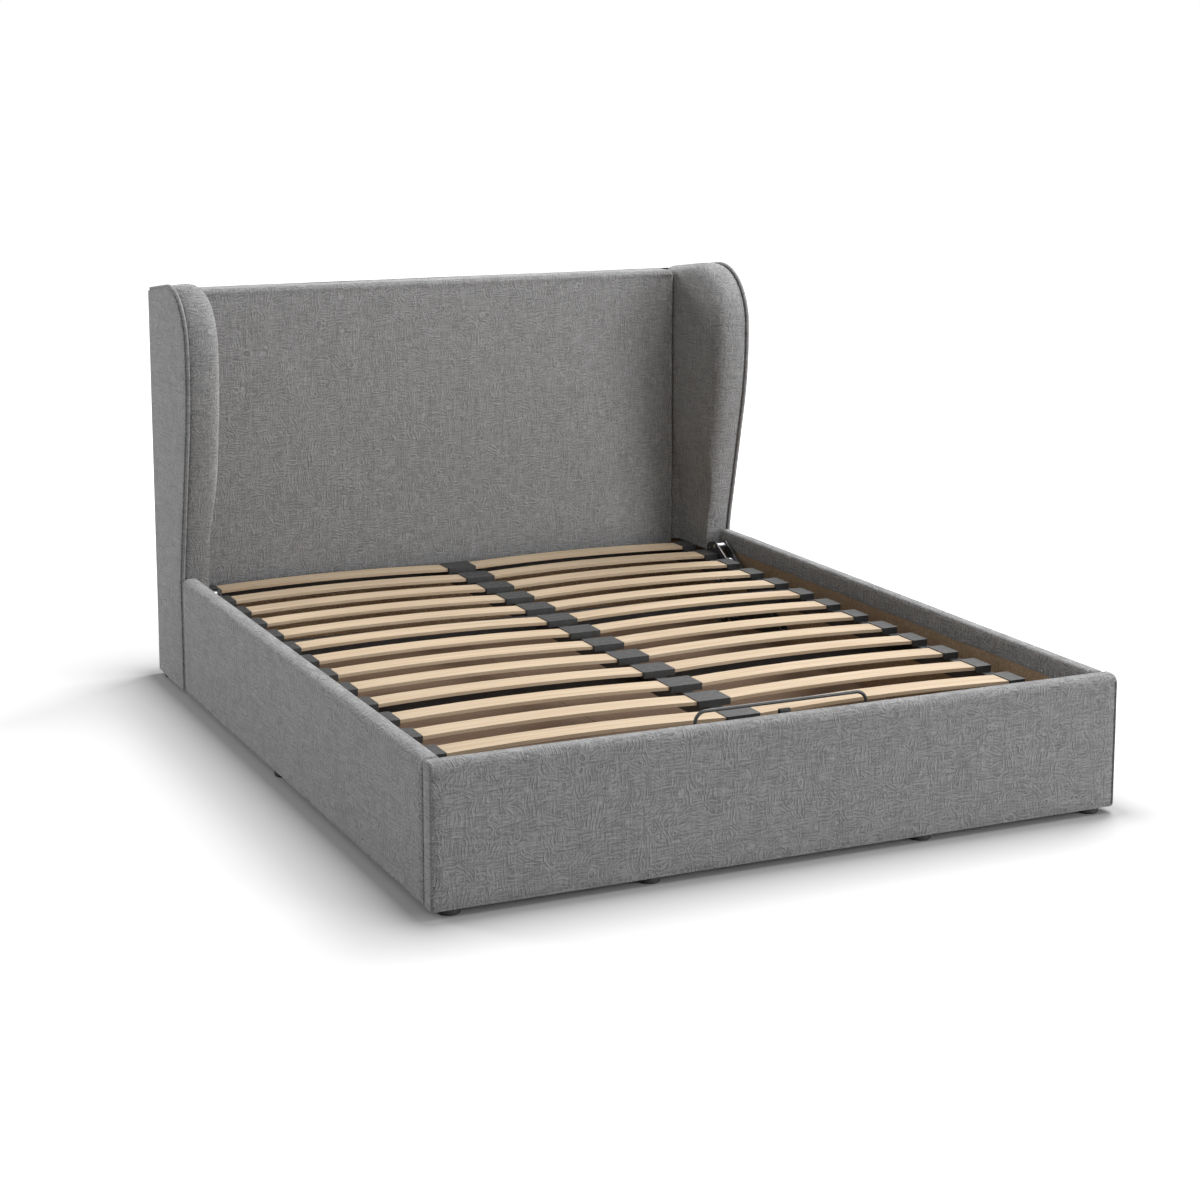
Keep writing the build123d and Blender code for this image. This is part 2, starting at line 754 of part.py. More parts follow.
with BuildPart() as right_strut_rod:
    with BuildSketch(strut_plane.offset(piston_rest)):
        Circle(strut_bore_radius - pin_clearance)
    extrude(amount=piston_length)
    with BuildSketch(strut_plane.offset(piston_rest)):
        Circle(rod_radius)
    extrude(amount=strut_length - rod_end_gap - piston_rest)
    with BuildSketch(side_plane(eye_inner_x)):
        with Locations(strut_high_pivot):
            Circle(strut_eye_radius)
            Circle(strut_pin_radius + strut_pin_play, mode=Mode.SUBTRACT)
    extrude(amount=strut_eye_width)

# Platform: steel tubes, sprung slats in plastic caps, a mattress bar and a lifting strap
with BuildPart() as right_side_tube:
    with BuildSketch(end_plane(platform_foot_y)):
        with Locations((-(platform_half - tube_width / 2), platform_bottom + tube_height / 2)):
            Rectangle(tube_width, tube_height)
            Rectangle(tube_width - 2 * tube_wall, tube_height - 2 * tube_wall, mode=Mode.SUBTRACT)
    extrude(amount=platform_head_y - platform_foot_y)

with BuildPart() as foot_tube:
    with BuildSketch(side_plane(-side_tube_inner_x)):
        with Locations((platform_foot_y + tube_width / 2, platform_bottom + tube_height / 2)):
            Rectangle(tube_width, tube_height)
            Rectangle(tube_width - 2 * tube_wall, tube_height - 2 * tube_wall, mode=Mode.SUBTRACT)
    extrude(amount=2 * side_tube_inner_x)

with BuildPart() as head_tube:
    with Locations((0, platform_head_y - platform_foot_y - tube_width, 0)):
        add(foot_tube.part)

with BuildPart() as middle_tube:
    with BuildSketch(end_plane(platform_foot_y + tube_width)):
        with Locations((0, platform_bottom + tube_height / 2)):
            Rectangle(tube_width, tube_height)
            Rectangle(tube_width - 2 * tube_wall, tube_height - 2 * tube_wall, mode=Mode.SUBTRACT)
    extrude(amount=platform_head_y - platform_foot_y - 2 * tube_width)

cross_tube_places = (slat_middle_y - cross_tube_offset, slat_middle_y + cross_tube_offset)
with BuildPart() as cross_tubes:
    for start_x in (-side_tube_inner_x, tube_width / 2):
        with BuildSketch(side_plane(start_x)):
            with Locations(*[(y, platform_bottom + tube_height / 2) for y in cross_tube_places]):
                Rectangle(tube_width, tube_height)
                Rectangle(tube_width - 2 * tube_wall, tube_height - 2 * tube_wall, mode=Mode.SUBTRACT)
        extrude(amount=side_tube_inner_x - tube_width / 2)

slat_low_x = slat_end_wall + seam_gap
slat_high_x = platform_half - slat_end_wall - seam_gap
slat_middle_x = (slat_low_x + slat_high_x) / 2
slat_bottom = platform_top + slat_seat
slat_top = slat_bottom + slat_thickness
slat_places = [(0, slat_middle_y - slat_span / 2 + index * slat_pitch, 0) for index in range(slat_count)]

with BuildPart() as one_slat:
    with BuildSketch(end_plane(-slat_width / 2)):
        with BuildLine():
            ThreePointArc(
                (-slat_low_x, slat_bottom),
                (-slat_middle_x, slat_bottom + slat_crown),
                (-slat_high_x, slat_bottom),
            )
            ThreePointArc(
                (-slat_low_x, slat_top),
                (-slat_middle_x, slat_top + slat_crown),
                (-slat_high_x, slat_top),
            )
            Line((-slat_low_x, slat_bottom), (-slat_low_x, slat_top))
            Line((-slat_high_x, slat_bottom), (-slat_high_x, slat_top))
        make_face()
    extrude(amount=slat_width)

with BuildPart() as right_slats:
    with Locations(*slat_places):
        add(one_slat.part)

# Each cap is a block with a slot for a slat's end; the middle caps have a slot on both sides
slot_bottom = slat_bottom - fit_gap
slot_top = slat_top + slat_seat / 2
slot_half = slat_width / 2 + fit_gap

with BuildPart() as one_side_cap:
    box_between(
        (platform_half - cap_length, -cap_width / 2, platform_top),
        (platform_half, cap_width / 2, platform_top + cap_height),
    )
    fillet(one_side_cap.edges().filter_by(Axis.Z), cap_round)
    box_between(
        (platform_half - cap_length - overrun, -slot_half, slot_bottom),
        (platform_half - slat_end_wall, slot_half, slot_top),
        mode=Mode.SUBTRACT,
    )

with BuildPart() as right_slat_caps:
    with Locations(*slat_places):
        add(one_side_cap.part)

with BuildPart() as one_middle_cap:
    box_between(
        (-cap_length, -cap_width / 2, platform_top),
        (cap_length, cap_width / 2, platform_top + cap_height),
    )
    fillet(one_middle_cap.edges().filter_by(Axis.Z), cap_round)
    for low_x, high_x in ((-cap_length - overrun, -slat_end_wall), (slat_end_wall, cap_length + overrun)):
        box_between((low_x, -slot_half, slot_bottom), (high_x, slot_half, slot_top), mode=Mode.SUBTRACT)

with BuildPart() as middle_slat_caps:
    with Locations(*slat_places):
        add(one_middle_cap.part)

with BuildPart() as mattress_bar:
    with BuildLine(end_plane(platform_foot_y + bar_radius)) as bar_path:
        FilletPolyline(
            (-bar_half, platform_top),
            (-bar_half, platform_top + bar_height),
            (bar_half, platform_top + bar_height),
            (bar_half, platform_top),
            radius=bar_bend,
        )
    with BuildSketch(Plane(bar_path.line @ 0, z_dir=bar_path.line % 0)):
        Circle(bar_radius)
    sweep()

strap_y = platform_foot_y - fit_gap - strap_loop_depth / 2
with BuildPart() as lift_strap:
    with BuildSketch(side_plane(-strap_width / 2)):
        with Locations((strap_y, strap_low + strap_loop_height / 2)):
            SlotOverall(strap_loop_height, strap_loop_depth, rotation=90)
            SlotOverall(
                strap_loop_height - 2 * strap_thickness,
                strap_loop_depth - 2 * strap_thickness,
                rotation=90,
                mode=Mode.SUBTRACT,
            )
    extrude(amount=strap_width)

# Pieces on the right that have a mirror image on the left
paired = {
    "rail_board": right_rail_board,
    "rail_cover": right_rail_cover,
    "wing_board": right_wing_board,
    "wing_pad": right_wing_pad,
    "wing_panel": right_wing_panel,
    "wing_piping": right_wing_piping,
    "base_board": right_base_board,
    "hinge_plate": right_hinge_plate,
    "front_arm": right_front_arm,
    "rear_arm": right_rear_arm,
    "lift_plate": right_lift_plate,
    "strut_cylinder": right_strut_cylinder,
    "strut_rod": right_strut_rod,
    "side_tube": right_side_tube,
    "slats": right_slats,
}

# Small pieces whose right and left ones are kept together
grouped = {
    "corner_brackets": right_corner_bracket,
    "wing_joiners": right_wing_joiner,
    "hinge_pins": right_hinge_pins,
    "lift_pins": right_lift_pins,
    "side_slat_caps": right_slat_caps,
}

pieces = {
    "footboard_board": footboard_board,
    "footboard_cover": footboard_cover,
    "headboard_posts": headboard_posts,
    "headboard_cross_rails": headboard_cross_rails,
    "headboard_ply": headboard_ply,
    "headboard_pad": headboard_pad,
    "headboard_back_cloth": headboard_back_cloth,
    "base_head_board": base_head_board,
    "side_ledges": side_ledges,
    "end_ledges": end_ledges,
    "middle_beam": middle_beam,
    "glide_feet": glide_feet,
    "glide_screws": glide_screws,
    "platform_rests": platform_rests,
    "rest_buffers": rest_buffers,
    "base_bolts": base_bolts,
    "wing_bolts": wing_bolts,
    "foot_tube": foot_tube,
    "head_tube": head_tube,
    "middle_tube": middle_tube,
    "cross_tubes": cross_tubes,
    "middle_slat_caps": middle_slat_caps,
    "mattress_bar": mattress_bar,
    "lift_strap": lift_strap,
}
for name, right_piece in paired.items():
    with BuildPart() as left_piece:
        mirror(right_piece.part, about=Plane.YZ)
    pieces[f"right_{name}"] = right_piece
    pieces[f"left_{name}"] = left_piece
for name, right_piece in grouped.items():
    with BuildPart() as both_pieces:
        add(right_piece.part)
        mirror(right_piece.part, about=Plane.YZ)
    pieces[name] = both_pieces

os.makedirs("parts", exist_ok=True)
for name, piece in pieces.items():
    piece.part.label = name
    export_step(piece.part, f"parts/{name}.step")
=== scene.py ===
import json
import math

import bmesh
import bpy
from mathutils import Matrix, Vector, noise


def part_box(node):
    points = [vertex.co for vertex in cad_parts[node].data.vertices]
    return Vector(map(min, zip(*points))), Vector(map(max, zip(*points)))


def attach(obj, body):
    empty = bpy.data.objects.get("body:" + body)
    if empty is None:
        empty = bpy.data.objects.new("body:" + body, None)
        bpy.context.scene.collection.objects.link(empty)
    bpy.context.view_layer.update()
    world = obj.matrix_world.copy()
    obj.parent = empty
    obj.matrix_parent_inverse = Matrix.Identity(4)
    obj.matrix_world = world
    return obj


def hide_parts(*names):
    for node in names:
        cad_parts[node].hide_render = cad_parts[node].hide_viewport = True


# Upholstered wingback bed frame. Metres; X right, +Y towards the headboard, Z up.
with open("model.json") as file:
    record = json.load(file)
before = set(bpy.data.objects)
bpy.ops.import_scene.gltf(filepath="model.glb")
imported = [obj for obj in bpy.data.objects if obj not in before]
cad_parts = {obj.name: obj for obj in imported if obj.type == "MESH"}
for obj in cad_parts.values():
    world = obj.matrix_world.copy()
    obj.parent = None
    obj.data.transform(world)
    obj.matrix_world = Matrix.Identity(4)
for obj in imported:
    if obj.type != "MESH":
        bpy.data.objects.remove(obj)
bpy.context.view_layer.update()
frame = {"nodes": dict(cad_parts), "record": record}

BASE = "bed_base"
PLATFORM = "platform"
HANDS = ((1, "Right"), (-1, "Left"))

# The wing's outline in the side plane
FLOOR_GAP = 0.013
RAIL_TOP = 0.325
BACK_CLOTH_Y = 1.072
WING_FRONT_Y = 0.810
WING_FLARE_Y = 0.700
WING_FLARE_Z = 0.800
WING_FRONT_TOP = 1.132
WING_BACK_TOP = 1.086
WING_LOW_BEND = 0.500
WING_HIGH_BEND = 1.000
WING_CORNER = 0.170

# Thicknesses across the wing
WING_INNER_X = 0.735
WING_LOW_INNER_X = 0.755
WING_TAPER_LOW = 0.430
WING_TAPER_HIGH = 0.620
WING_PAD_LOW = 0.265
WING_ROLL = 0.042
SEAM_ROLL = 0.044
SEAM_DROP = 0.013
WING_SEAM_X = 0.823
WING_OUTER_X = 0.835
BOARD_INNER_X = 0.795
BOARD_OUTER_X = 0.817
BOARD_INSET = 0.018

# The wing's outer panel and its piping
PIPING_RADIUS = 0.0035
PIPING_PUFF = 0.0007
PANEL_INSET = 0.0073
PANEL_EASE = 0.0015
PANEL_EDGE = 0.003
PANEL_ROUND = 0.005
PANEL_SINK = 0.001
PANEL_PUFF = 0.0015

# The wing's mesh: rows across its face, steps round its edges, the height up to which its lines are
# level as a share of the wing's, and the points before the back over which its puff fades
PAD_ROWS = 24
PLAIN_ROWS = 9
ROLL_STEPS = 9
PANEL_STEPS = 5
LEVEL_SHARE = 0.84
PUFF_FADE_POINTS = 12

# The base's boards and the padding round them
BOARD = 0.022
BOARD_TOP = 0.310
RAIL_PADDING = 0.018
END_PADDING = 0.015
BOTTOM_WRAP = 0.004
OUTER_LOW_ROUND = 0.010
INNER_LOW_ROUND = 0.004
INNER_TOP_ROUND = 0.007
OUTER_TOP_ROUND = 0.020
FOOTBOARD_END_ROUND = 0.0075
RAIL_FOOT_ROUND = 0.010
RAIL_HEAD_ROUND = 0.012
FOOTBOARD_CROWN = 0.007
RAIL_CROWN = 0.005
CROWN_REACH = 0.028
FOOTBOARD_CELL = 0.006
RAIL_CELL = 0.008

# The headboard: the frame inside it, and its pad
HEADBOARD_FRONT_Y = 0.993
PLY_FRONT_Y = 1.027
FRAME_TOP = 1.060
HEADBOARD_LOW_ROUND = 0.004
HEADBOARD_BACK_LOW_ROUND = 0.001
HEADBOARD_BACK_TOP_ROUND = 0.008
HEADBOARD_TOP_ROUND = 0.018
HEADBOARD_END_ROUND = 0.014
HEADBOARD_CROWN = 0.005
HEADBOARD_CROWN_REACH = 0.060
HEADBOARD_CELL = 0.012

# The slight unevenness of stretched cloth: how far it moves, and over what length
BOARD_RUFFLE = (0.0007, 0.16)
WING_RUFFLE = (0.0008, 0.14)
PANEL_RUFFLE = (0.0005, 0.15)
HEADBOARD_RUFFLE = (0.0012, 0.20)
RUFFLE_SHIFTS = (7.31, 3.17, 1.93)

# The cloth's hems on the inside of the boards, and the staples that hold them
HEM_LOW = 0.274
HEM_TOP = 0.317
HEM_THICK = 0.0013
HEM_ROUND = 0.0006
HEM_CELL = 0.012
HEM_WAVE = 0.0025
HEM_WAVE_SIZE = 0.05
FOOTBOARD_HEM_GAP = 0.043
RAIL_HEM_FOOT_GAP = 0.003
RAIL_HEM_HEAD_GAP = 0.020
STAPLE_CROWN = 0.010
STAPLE_WIRE = 0.0009
STAPLE_STEP = 0.055
STAPLE_Z = HEM_LOW + 0.008

# The cloth on the headboard's back, and the lifting strap
CLOTH_ROUND = 0.0008
CLOTH_CELL = 0.03
CLOTH_STAPLE_MARGIN = 0.012
STRAP_THICK = 0.0025
STRAP_STEPS = 12

# Clearances of cuts, and places past the pieces that cuts run to
CLEAR = 0.0004
BEYOND = 0.05
CUT_HALF_WIDTH = 1.0
CUT_FRONT_Y = 0.5
CUT_BACK_Y = 1.2

# Meshes: the least round, steps round a rounded edge and a tube, the reach of a flat face, and
# the angle in degrees up to which edges look smooth
LEAST_ROUND = 0.0006
EDGE_STEPS = 6
TUBE_SIDES = 12
FACE_LIMIT = 0.0005
SMOOTH_ANGLE = 50.0

# The cloth's ribs and threads. Its pattern is drawn out along the bed, and scales are per metre. The ribs
# also go into the colour, as a painted highlight along each ridge and painted shade on one side of it.
LENGTHWISE = 0.55
RIB_SPACING = 0.0080
RIB_SWAY = 0.022
SWAY_SCALE = 33.0
CELL_SCALE = 40.0
RING_CHANCE = 0.76
RIDGE_LOW = 0.22
SHADE_LAG = 1.45
SHADE_STRENGTH = 0.7
THREAD_TONE = 1.9
SLUB_TONE = 0.85
# The share of the ribs' painted highlight and painted shade in the cloth's colour
RIB_PAINTED_LIGHT = 0.54
TONE_SPREAD = 0.30

# Depths of the fine surface of metals
PLATED_BUMP = 0.00012
COAT_BUMP = 0.0003
POLISHED_BUMP = 0.00003

# Colours of the woods and boards
PLY_LIGHT = (0.56, 0.40, 0.24, 1)
PLY_DARK = (0.40, 0.26, 0.14, 1)
PINE_LIGHT = (0.66, 0.48, 0.28, 1)
PINE_DARK = (0.46, 0.29, 0.14, 1)
BEECH_LIGHT = (0.60, 0.475, 0.335, 1)
BEECH_DARK = (0.45, 0.33, 0.21, 1)
CHIP_LIGHT = (0.52, 0.38, 0.24, 1)
CHIP_DARK = (0.30, 0.19, 0.11, 1)
HARDBOARD_LIGHT = (0.24, 0.155, 0.095, 1)
HARDBOARD_DARK = (0.19, 0.115, 0.068, 1)

# The floor, which is white away from the bed and has a painted shadow round the bed where its glow fades,
# and the world's share of the light on the object
FLOOR_HALF = 40.0
FLOOR_VALUE = 0.50
# The glow fades towards the bed and paints a shadow round it: where the fade starts, its reach, and the
# start and reach of a slow rise further out
GLOW_START = 0.024
GLOW_REACH = 0.085
FAR_START = 0.15
FAR_REACH = 2.0
WORLD_LIGHT = 0.33

# Lamps: name, place, target, size and power
LAMPS = (
    ("Softbox_Key", (4.4, 2.6, 6.2), (0.0, 0.0, 0.4), 3.5, 450.0),
    ("Softbox_Over", (1.1, -0.95, 3.6), (0.0, 0.6, 0.5), 1.8, 66.0),
    ("Softbox_Front", (6.3, -8.1, 2.2), (0.0, 0.3, 0.7), 5.0, 555.0),
    ("Softbox_Left", (-8.0, 9.0, 4.5), (0.0, 0.0, 0.6), 3.5, 640.0),
)

# The photo's camera
FOCAL_PIXELS = 2406.0
FRAME_PIXELS = 1200.0
SENSOR = 36.0
CAMERA_SHIFT = -0.125
CAMERA_REACH = 100.0
CAMERA_PLACE = (-2.456, -5.403, 1.724)
CAMERA_YAW = 24.73
CAMERA_PITCH = 9.43


def put(tree, kind, inputs=(), **settings):
    """Adds a shader node, sets it up and wires or sets its inputs."""
    node = tree.nodes.new("ShaderNode" + kind)
    for key, value in settings.items():
        setattr(node, key, value)
    for key, value in dict(inputs).items():
        if isinstance(value, bpy.types.NodeSocket):
            tree.links.new(value, node.inputs[key])
        else:
            node.inputs[key].default_value = value
    return node


def maths(tree, operation, first, second=0.0, clamp=False):
    """The result of a math node."""
    return put(tree, "Math", {0: first, 1: second}, operation=operation, use_clamp=clamp).outputs[0]


def added(tree, base, value, share, clamp=False):
    """A value with a share of another added."""
    return maths(tree, "ADD", base, maths(tree, "MULTIPLY", value, share), clamp)


def vector(tree, operation, first, second, third=(0, 0, 0), output=0):
    """The result of a vector math node."""
    return put(tree, "VectorMath", {0: first, 1: second, 2: third}, operation=operation).outputs[output]


def mixed(tree, share, first, second):
    """A colour between two others."""
    node = put(tree, "Mix", {0: share, 6: first, 7: second}, data_type="RGBA")
    return node.outputs[2]


def noise_at(tree, place, scale, detail=2.0, roughness=0.5, distortion=0.0):
    """A noise value between 0 and 1."""
    inputs = {"Vector": place, "Scale": scale, "Detail": detail}
    inputs.update({"Roughness": roughness, "Distortion": distortion})
    return put(tree, "TexNoise", inputs).outputs[0]


def stretched(tree, place, scale):
    """Object coordinates scaled by a different amount along each axis."""
    return put(tree, "Mapping", {"Vector": place, "Scale": scale}, vector_type="POINT").outputs[0]


def ranged(tree, value, low, high, to_low=0.0, to_high=1.0):
    """A value carried from one range to another, clamped."""
    inputs = {0: value, 1: low, 2: high, 3: to_low, 4: to_high}
    return put(tree, "MapRange", inputs, interpolation_type="SMOOTHSTEP").outputs[0]


def new_material(name):
    """A material with its tree, its main shader and the object's coordinates."""
    material = bpy.data.materials.new(name)
    material.use_nodes = True
    tree = material.node_tree
    shader = tree.nodes["Principled BSDF"]
    place = put(tree, "TexCoord").outputs["Object"]
    return material, tree, shader, place


def wire(tree, shader, colour=None, roughness=None, height=None, distance=0.001, strength=1.0):
    """Wires a colour, a roughness and a bump height to a shader."""
    if colour is not None:
        tree.links.new(colour, shader.inputs["Base Color"])
    if roughness is not None:
        tree.links.new(roughness, shader.inputs["Roughness"])
    if height is not None:
        inputs = {"Height": height, "Distance": distance, "Strength": strength}
        bump = put(tree, "Bump", inputs)
        tree.links.new(bump.outputs[0], shader.inputs["Normal"])


def seen_directly(tree):
    """One for the rays that show the white background: camera, glossy and transmission; zero for others."""
    rays = put(tree, "LightPath").outputs
    shiny = maths(tree, "MAXIMUM", rays["Is Glossy Ray"], rays["Is Transmission Ray"])
    return maths(tree, "MAXIMUM", rays["Is Camera Ray"], shiny)


def grey(value, tint=0.0):
    """A grey colour, slightly blue for a positive tint."""
    return (value, value, value * (1 + tint), 1)


def rib_travel(tree, warped, cells):
    """How far a point lies across its cell's ribs: along a mostly square line, or out from the middle."""
    offset = vector(tree, "SUBTRACT", warped, cells["Position"])
    normal = put(tree, "NewGeometry").outputs["True Normal"]
    lean = vector(tree, "SUBTRACT", cells["Color"], (0.5, 0.5, 0.5))
    cubed = vector(tree, "MULTIPLY", lean, vector(tree, "MULTIPLY", lean, lean))
    run = vector(tree, "CROSS_PRODUCT", normal, cubed)
    along = vector(tree, "DOT_PRODUCT", offset, vector(tree, "NORMALIZE", run, run), output=1)
    around = vector(tree, "LENGTH", offset, offset, output=1)
    chance = put(tree, "SeparateColor", {0: cells["Color"]}).outputs[2]
    ringed = maths(tree, "GREATER_THAN", chance, RING_CHANCE)
    return put(tree, "Mix", {0: ringed, 2: along, 3: around}, data_type="FLOAT").outputs[0]


def rib_wave_and_painted_light(tree, travel):
    """Raised ridges with a dip on one side, by the distance across them. In the cloth's colour the same wave
    is a painted highlight on each ridge and painted shade on its one side.
    """
    phase = maths(tree, "MULTIPLY", travel, 2 * math.pi / RIB_SPACING)
    # Each ridge is raised, and in the colour it is a painted highlight. The shade beside it is a dip, and in
    # the colour it is painted shade.
    ridge_and_highlight = ranged(tree, maths(tree, "SINE", phase), RIDGE_LOW, 1.0)
    shade = ranged(tree, maths(tree, "SINE", maths(tree, "ADD", phase, SHADE_LAG)), RIDGE_LOW, 1.0)
    return maths(tree, "SUBTRACT", ridge_and_highlight, maths(tree, "MULTIPLY", shade, SHADE_STRENGTH))


def rib_pattern(tree, place):
    """Short curling ribs with breaks. In the cloth's colour they also give a painted highlight on each ridge
    and painted shade beside it.

    Each Voronoi cell holds its own run of parallel ribs, or rings round its middle. A slow warp curls
    them."""
    sway = put(tree, "TexNoise", {"Vector": place, "Scale": SWAY_SCALE, "Detail": 1.0}).outputs["Color"]
    sway = vector(tree, "SUBTRACT", sway, (0.5, 0.5, 0.5))
    warped = vector(tree, "MULTIPLY_ADD", sway, (RIB_SWAY, RIB_SWAY, RIB_SWAY), place)
    inputs = {"Vector": warped, "Scale": CELL_SCALE, "Randomness": 1.0}
    cells = put(tree, "TexVoronoi", inputs, feature="F1").outputs
    wave = rib_wave_and_painted_light(tree, rib_travel(tree, warped, cells))
    fade = ranged(tree, cells["Distance"], low=0.60, high=0.95, to_low=1.0, to_high=0.0)
    spots = noise_at(tree, place, scale=70.0, detail=1.0)
    breaks = ranged(tree, spots, low=0.30, high=0.48, to_low=0.45, to_high=1.0)
    return maths(tree, "MULTIPLY", maths(tree, "MULTIPLY", wave, fade), breaks)


def weave(tree, place, length, width, detail, roughness=0.5):
    """Threads across and upright: noise drawn out along them, by a scale for length and one for width."""
    across = noise_at(tree, stretched(tree, place, (length, length, width)), 1.0, detail, roughness)
    upright = noise_at(tree, stretched(tree, place, (width, width, length)), 1.0, detail, roughness)
    return maths(tree, "SUBTRACT", maths(tree, "ADD", across, upright), 1.0)


def upholstery_material(name, value, relief):
    """Mid-grey cloth with a linen thread and a raised pattern of short curling ribs. The ribs are also
    painted into its colour, as a painted highlight on each ridge and painted shade beside it.
    """
    material, tree, shader, place = new_material(name)
    place = stretched(tree, place, (1.0, LENGTHWISE, 1.0))
    ribs = rib_pattern(tree, place)
    threads = weave(tree, place, length=40, width=430, detail=2.0, roughness=0.6)
    slubs = weave(tree, place, length=20, width=250, detail=1.0)
    fine = noise_at(tree, place, scale=1100.0, detail=1.0, roughness=0.7)
    tone = added(tree, 0.5, threads, THREAD_TONE)
    tone = added(tree, tone, slubs, SLUB_TONE)
    # This share of the colour is painted light: a painted highlight on each rib's ridge and painted shade on
    # one side of it
    tone = added(tree, tone, ribs, RIB_PAINTED_LIGHT * relief, clamp=True)
    dark = grey(value * (1 - TONE_SPREAD), tint=0.01)
    light = grey(value * (1 + TONE_SPREAD), tint=0.01)
    height = added(tree, maths(tree, "MULTIPLY", ribs, relief), threads, share=0.6)
    height = added(tree, height, fine, share=0.2)
    shader.inputs["Roughness"].default_value = 0.92
    shader.inputs["Specular IOR Level"].default_value = 0.2
    shader.inputs["Sheen Weight"].default_value = 0.45
    shader.inputs["Sheen Roughness"].default_value = 0.4
    wire(tree, shader, mixed(tree, tone, dark, light), height=height, distance=0.0008, strength=0.9)
    return material


def wood_material(name, light, dark, grain_axis, gloss):
    """Wood with its grain along one axis: streaks, fine pores and a slow change of tone."""
    material, tree, shader, place = new_material(name)
    streak_scale = [70.0, 70.0, 70.0]
    pore_scale = [900.0, 900.0, 900.0]
    streak_scale[grain_axis] = 2.2
    pore_scale[grain_axis] = 18.0
    streak_place = stretched(tree, place, streak_scale)
    streaks = noise_at(tree, streak_place, scale=1.0, detail=4.0, roughness=0.6, distortion=0.4)
    pores = noise_at(tree, stretched(tree, place, pore_scale), scale=1.0, detail=2.0, roughness=0.6)
    slow = noise_at(tree, place, scale=3.0, detail=2.0)
    share = added(tree, ranged(tree, streaks, low=0.3, high=0.7), slow, share=0.5)
    share = maths(tree, "ADD", share, ranged(tree, pores, low=0.60, high=0.75, to_low=0.0, to_high=0.35))
    colour = mixed(tree, maths(tree, "MULTIPLY", share, 0.62, clamp=True), light, dark)
    roughness = ranged(tree, streaks, low=0.2, high=0.8, to_low=gloss - 0.08, to_high=gloss + 0.08)
    height = added(tree, streaks, pores, share=-0.6)
    wire(tree, shader, colour, roughness, height, distance=0.0004, strength=0.5)
    return material


def chipboard_material(name, light, dark):
    """Raw particle board: flattened chips of several tones."""
    material, tree, shader, place = new_material(name)
    chips = put(tree, "TexVoronoi", {"Vector": place, "Scale": 260.0, "Randomness": 1.0}, feature="F1")
    tones = put(tree, "SeparateColor", {0: chips.outputs["Color"]}).outputs[0]
    dust = noise_at(tree, place, scale=900.0, detail=3.0, roughness=0.7)
    share = added(tree, maths(tree, "MULTIPLY", tones, 0.7), dust, share=0.4, clamp=True)
    colour = mixed(tree, share, light, dark)
    shader.inputs["Roughness"].default_value = 0.8
    wire(tree, shader, colour, height=maths(tree, "ADD", tones, dust), distance=0.0003, strength=0.5)
    return material


def metal_material(name, value, metallic, roughness, grain, mottle, bump=PLATED_BUMP):
    """Metal, plated or powder coated: a fine surface and a slight mottle in tone and gloss."""
    material, tree, shader, place = new_material(name)
    mottling = noise_at(tree, place, scale=40.0, detail=3.0, roughness=0.6)
    surface = noise_at(tree, place, grain, detail=2.0, roughness=0.6)
    dark = grey(value * (1 - mottle), tint=0.02)
    light = grey(value * (1 + mottle), tint=0.02)
    colour = mixed(tree, ranged(tree, mottling, low=0.3, high=0.7), dark, light)
    gloss = ranged(tree, mottling, low=0.25, high=0.75, to_low=roughness - 0.06, to_high=roughness + 0.08)
    shader.inputs["Metallic"].default_value = metallic
    wire(tree, shader, colour, gloss, surface, distance=bump, strength=0.6)
    return material


def plastic_material(name, value, roughness, grain=900.0, bump=0.0002):
    """Moulded plastic or rubber with a fine spark texture and faint rub marks."""
    material, tree, shader, place = new_material(name)
    rubs = noise_at(tree, place, scale=60.0, detail=4.0, roughness=0.65)
    colour = mixed(tree, ranged(tree, rubs, low=0.35, high=0.75), grey(value * 0.85), grey(value * 1.5))
    gloss = ranged(tree, rubs, low=0.3, high=0.8, to_low=roughness + 0.06, to_high=roughness - 0.08)
    surface = noise_at(tree, place, grain, detail=2.0)
    wire(tree, shader, colour, gloss, surface, distance=bump, strength=0.7)
    return material


def cloth_material(name, value):
    """Non-woven cloth: matted fibres pressed with a grid of small dots."""
    material, tree, shader, place = new_material(name)
    fibres = noise_at(tree, place, scale=500.0, detail=4.0, roughness=0.7, distortion=1.5)
    cells = put(tree, "TexVoronoi", {"Vector": place, "Scale": 220.0, "Randomness": 0.15}, feature="F1")
    dots = ranged(tree, cells.outputs["Distance"], low=0.15, high=0.35)
    share = maths(tree, "MULTIPLY", maths(tree, "ADD", fibres, dots), 0.5)
    colour = mixed(tree, share, grey(value * 0.6), grey(value * 1.6))
    shader.inputs["Roughness"].default_value = 0.95
    wire(tree, shader, colour, height=maths(tree, "ADD", dots, fibres), distance=0.0004, strength=0.7)
    return material


def webbing_material(name, value):
    """Woven strap: a tight diagonal weave with a ribbed selvedge."""
    material, tree, shader, place = new_material(name)
    inputs = {"Vector": stretched(tree, place, (1, 0.2, 1)), "Scale": 420.0}
    inputs.update({"Distortion": 0.4, "Detail": 1.0})
    ribs = put(tree, "TexWave", inputs, wave_type="BANDS", bands_direction="DIAGONAL").outputs[1]
    yarn = noise_at(tree, place, scale=1200.0, detail=2.0, roughness=0.6)
    colour = mixed(tree, ribs, grey(value * 0.6), grey(value * 1.8))
    shader.inputs["Roughness"].default_value = 0.85
    wire(tree, shader, colour, height=maths(tree, "ADD", ribs, yarn), distance=0.0005, strength=0.8)
    return material


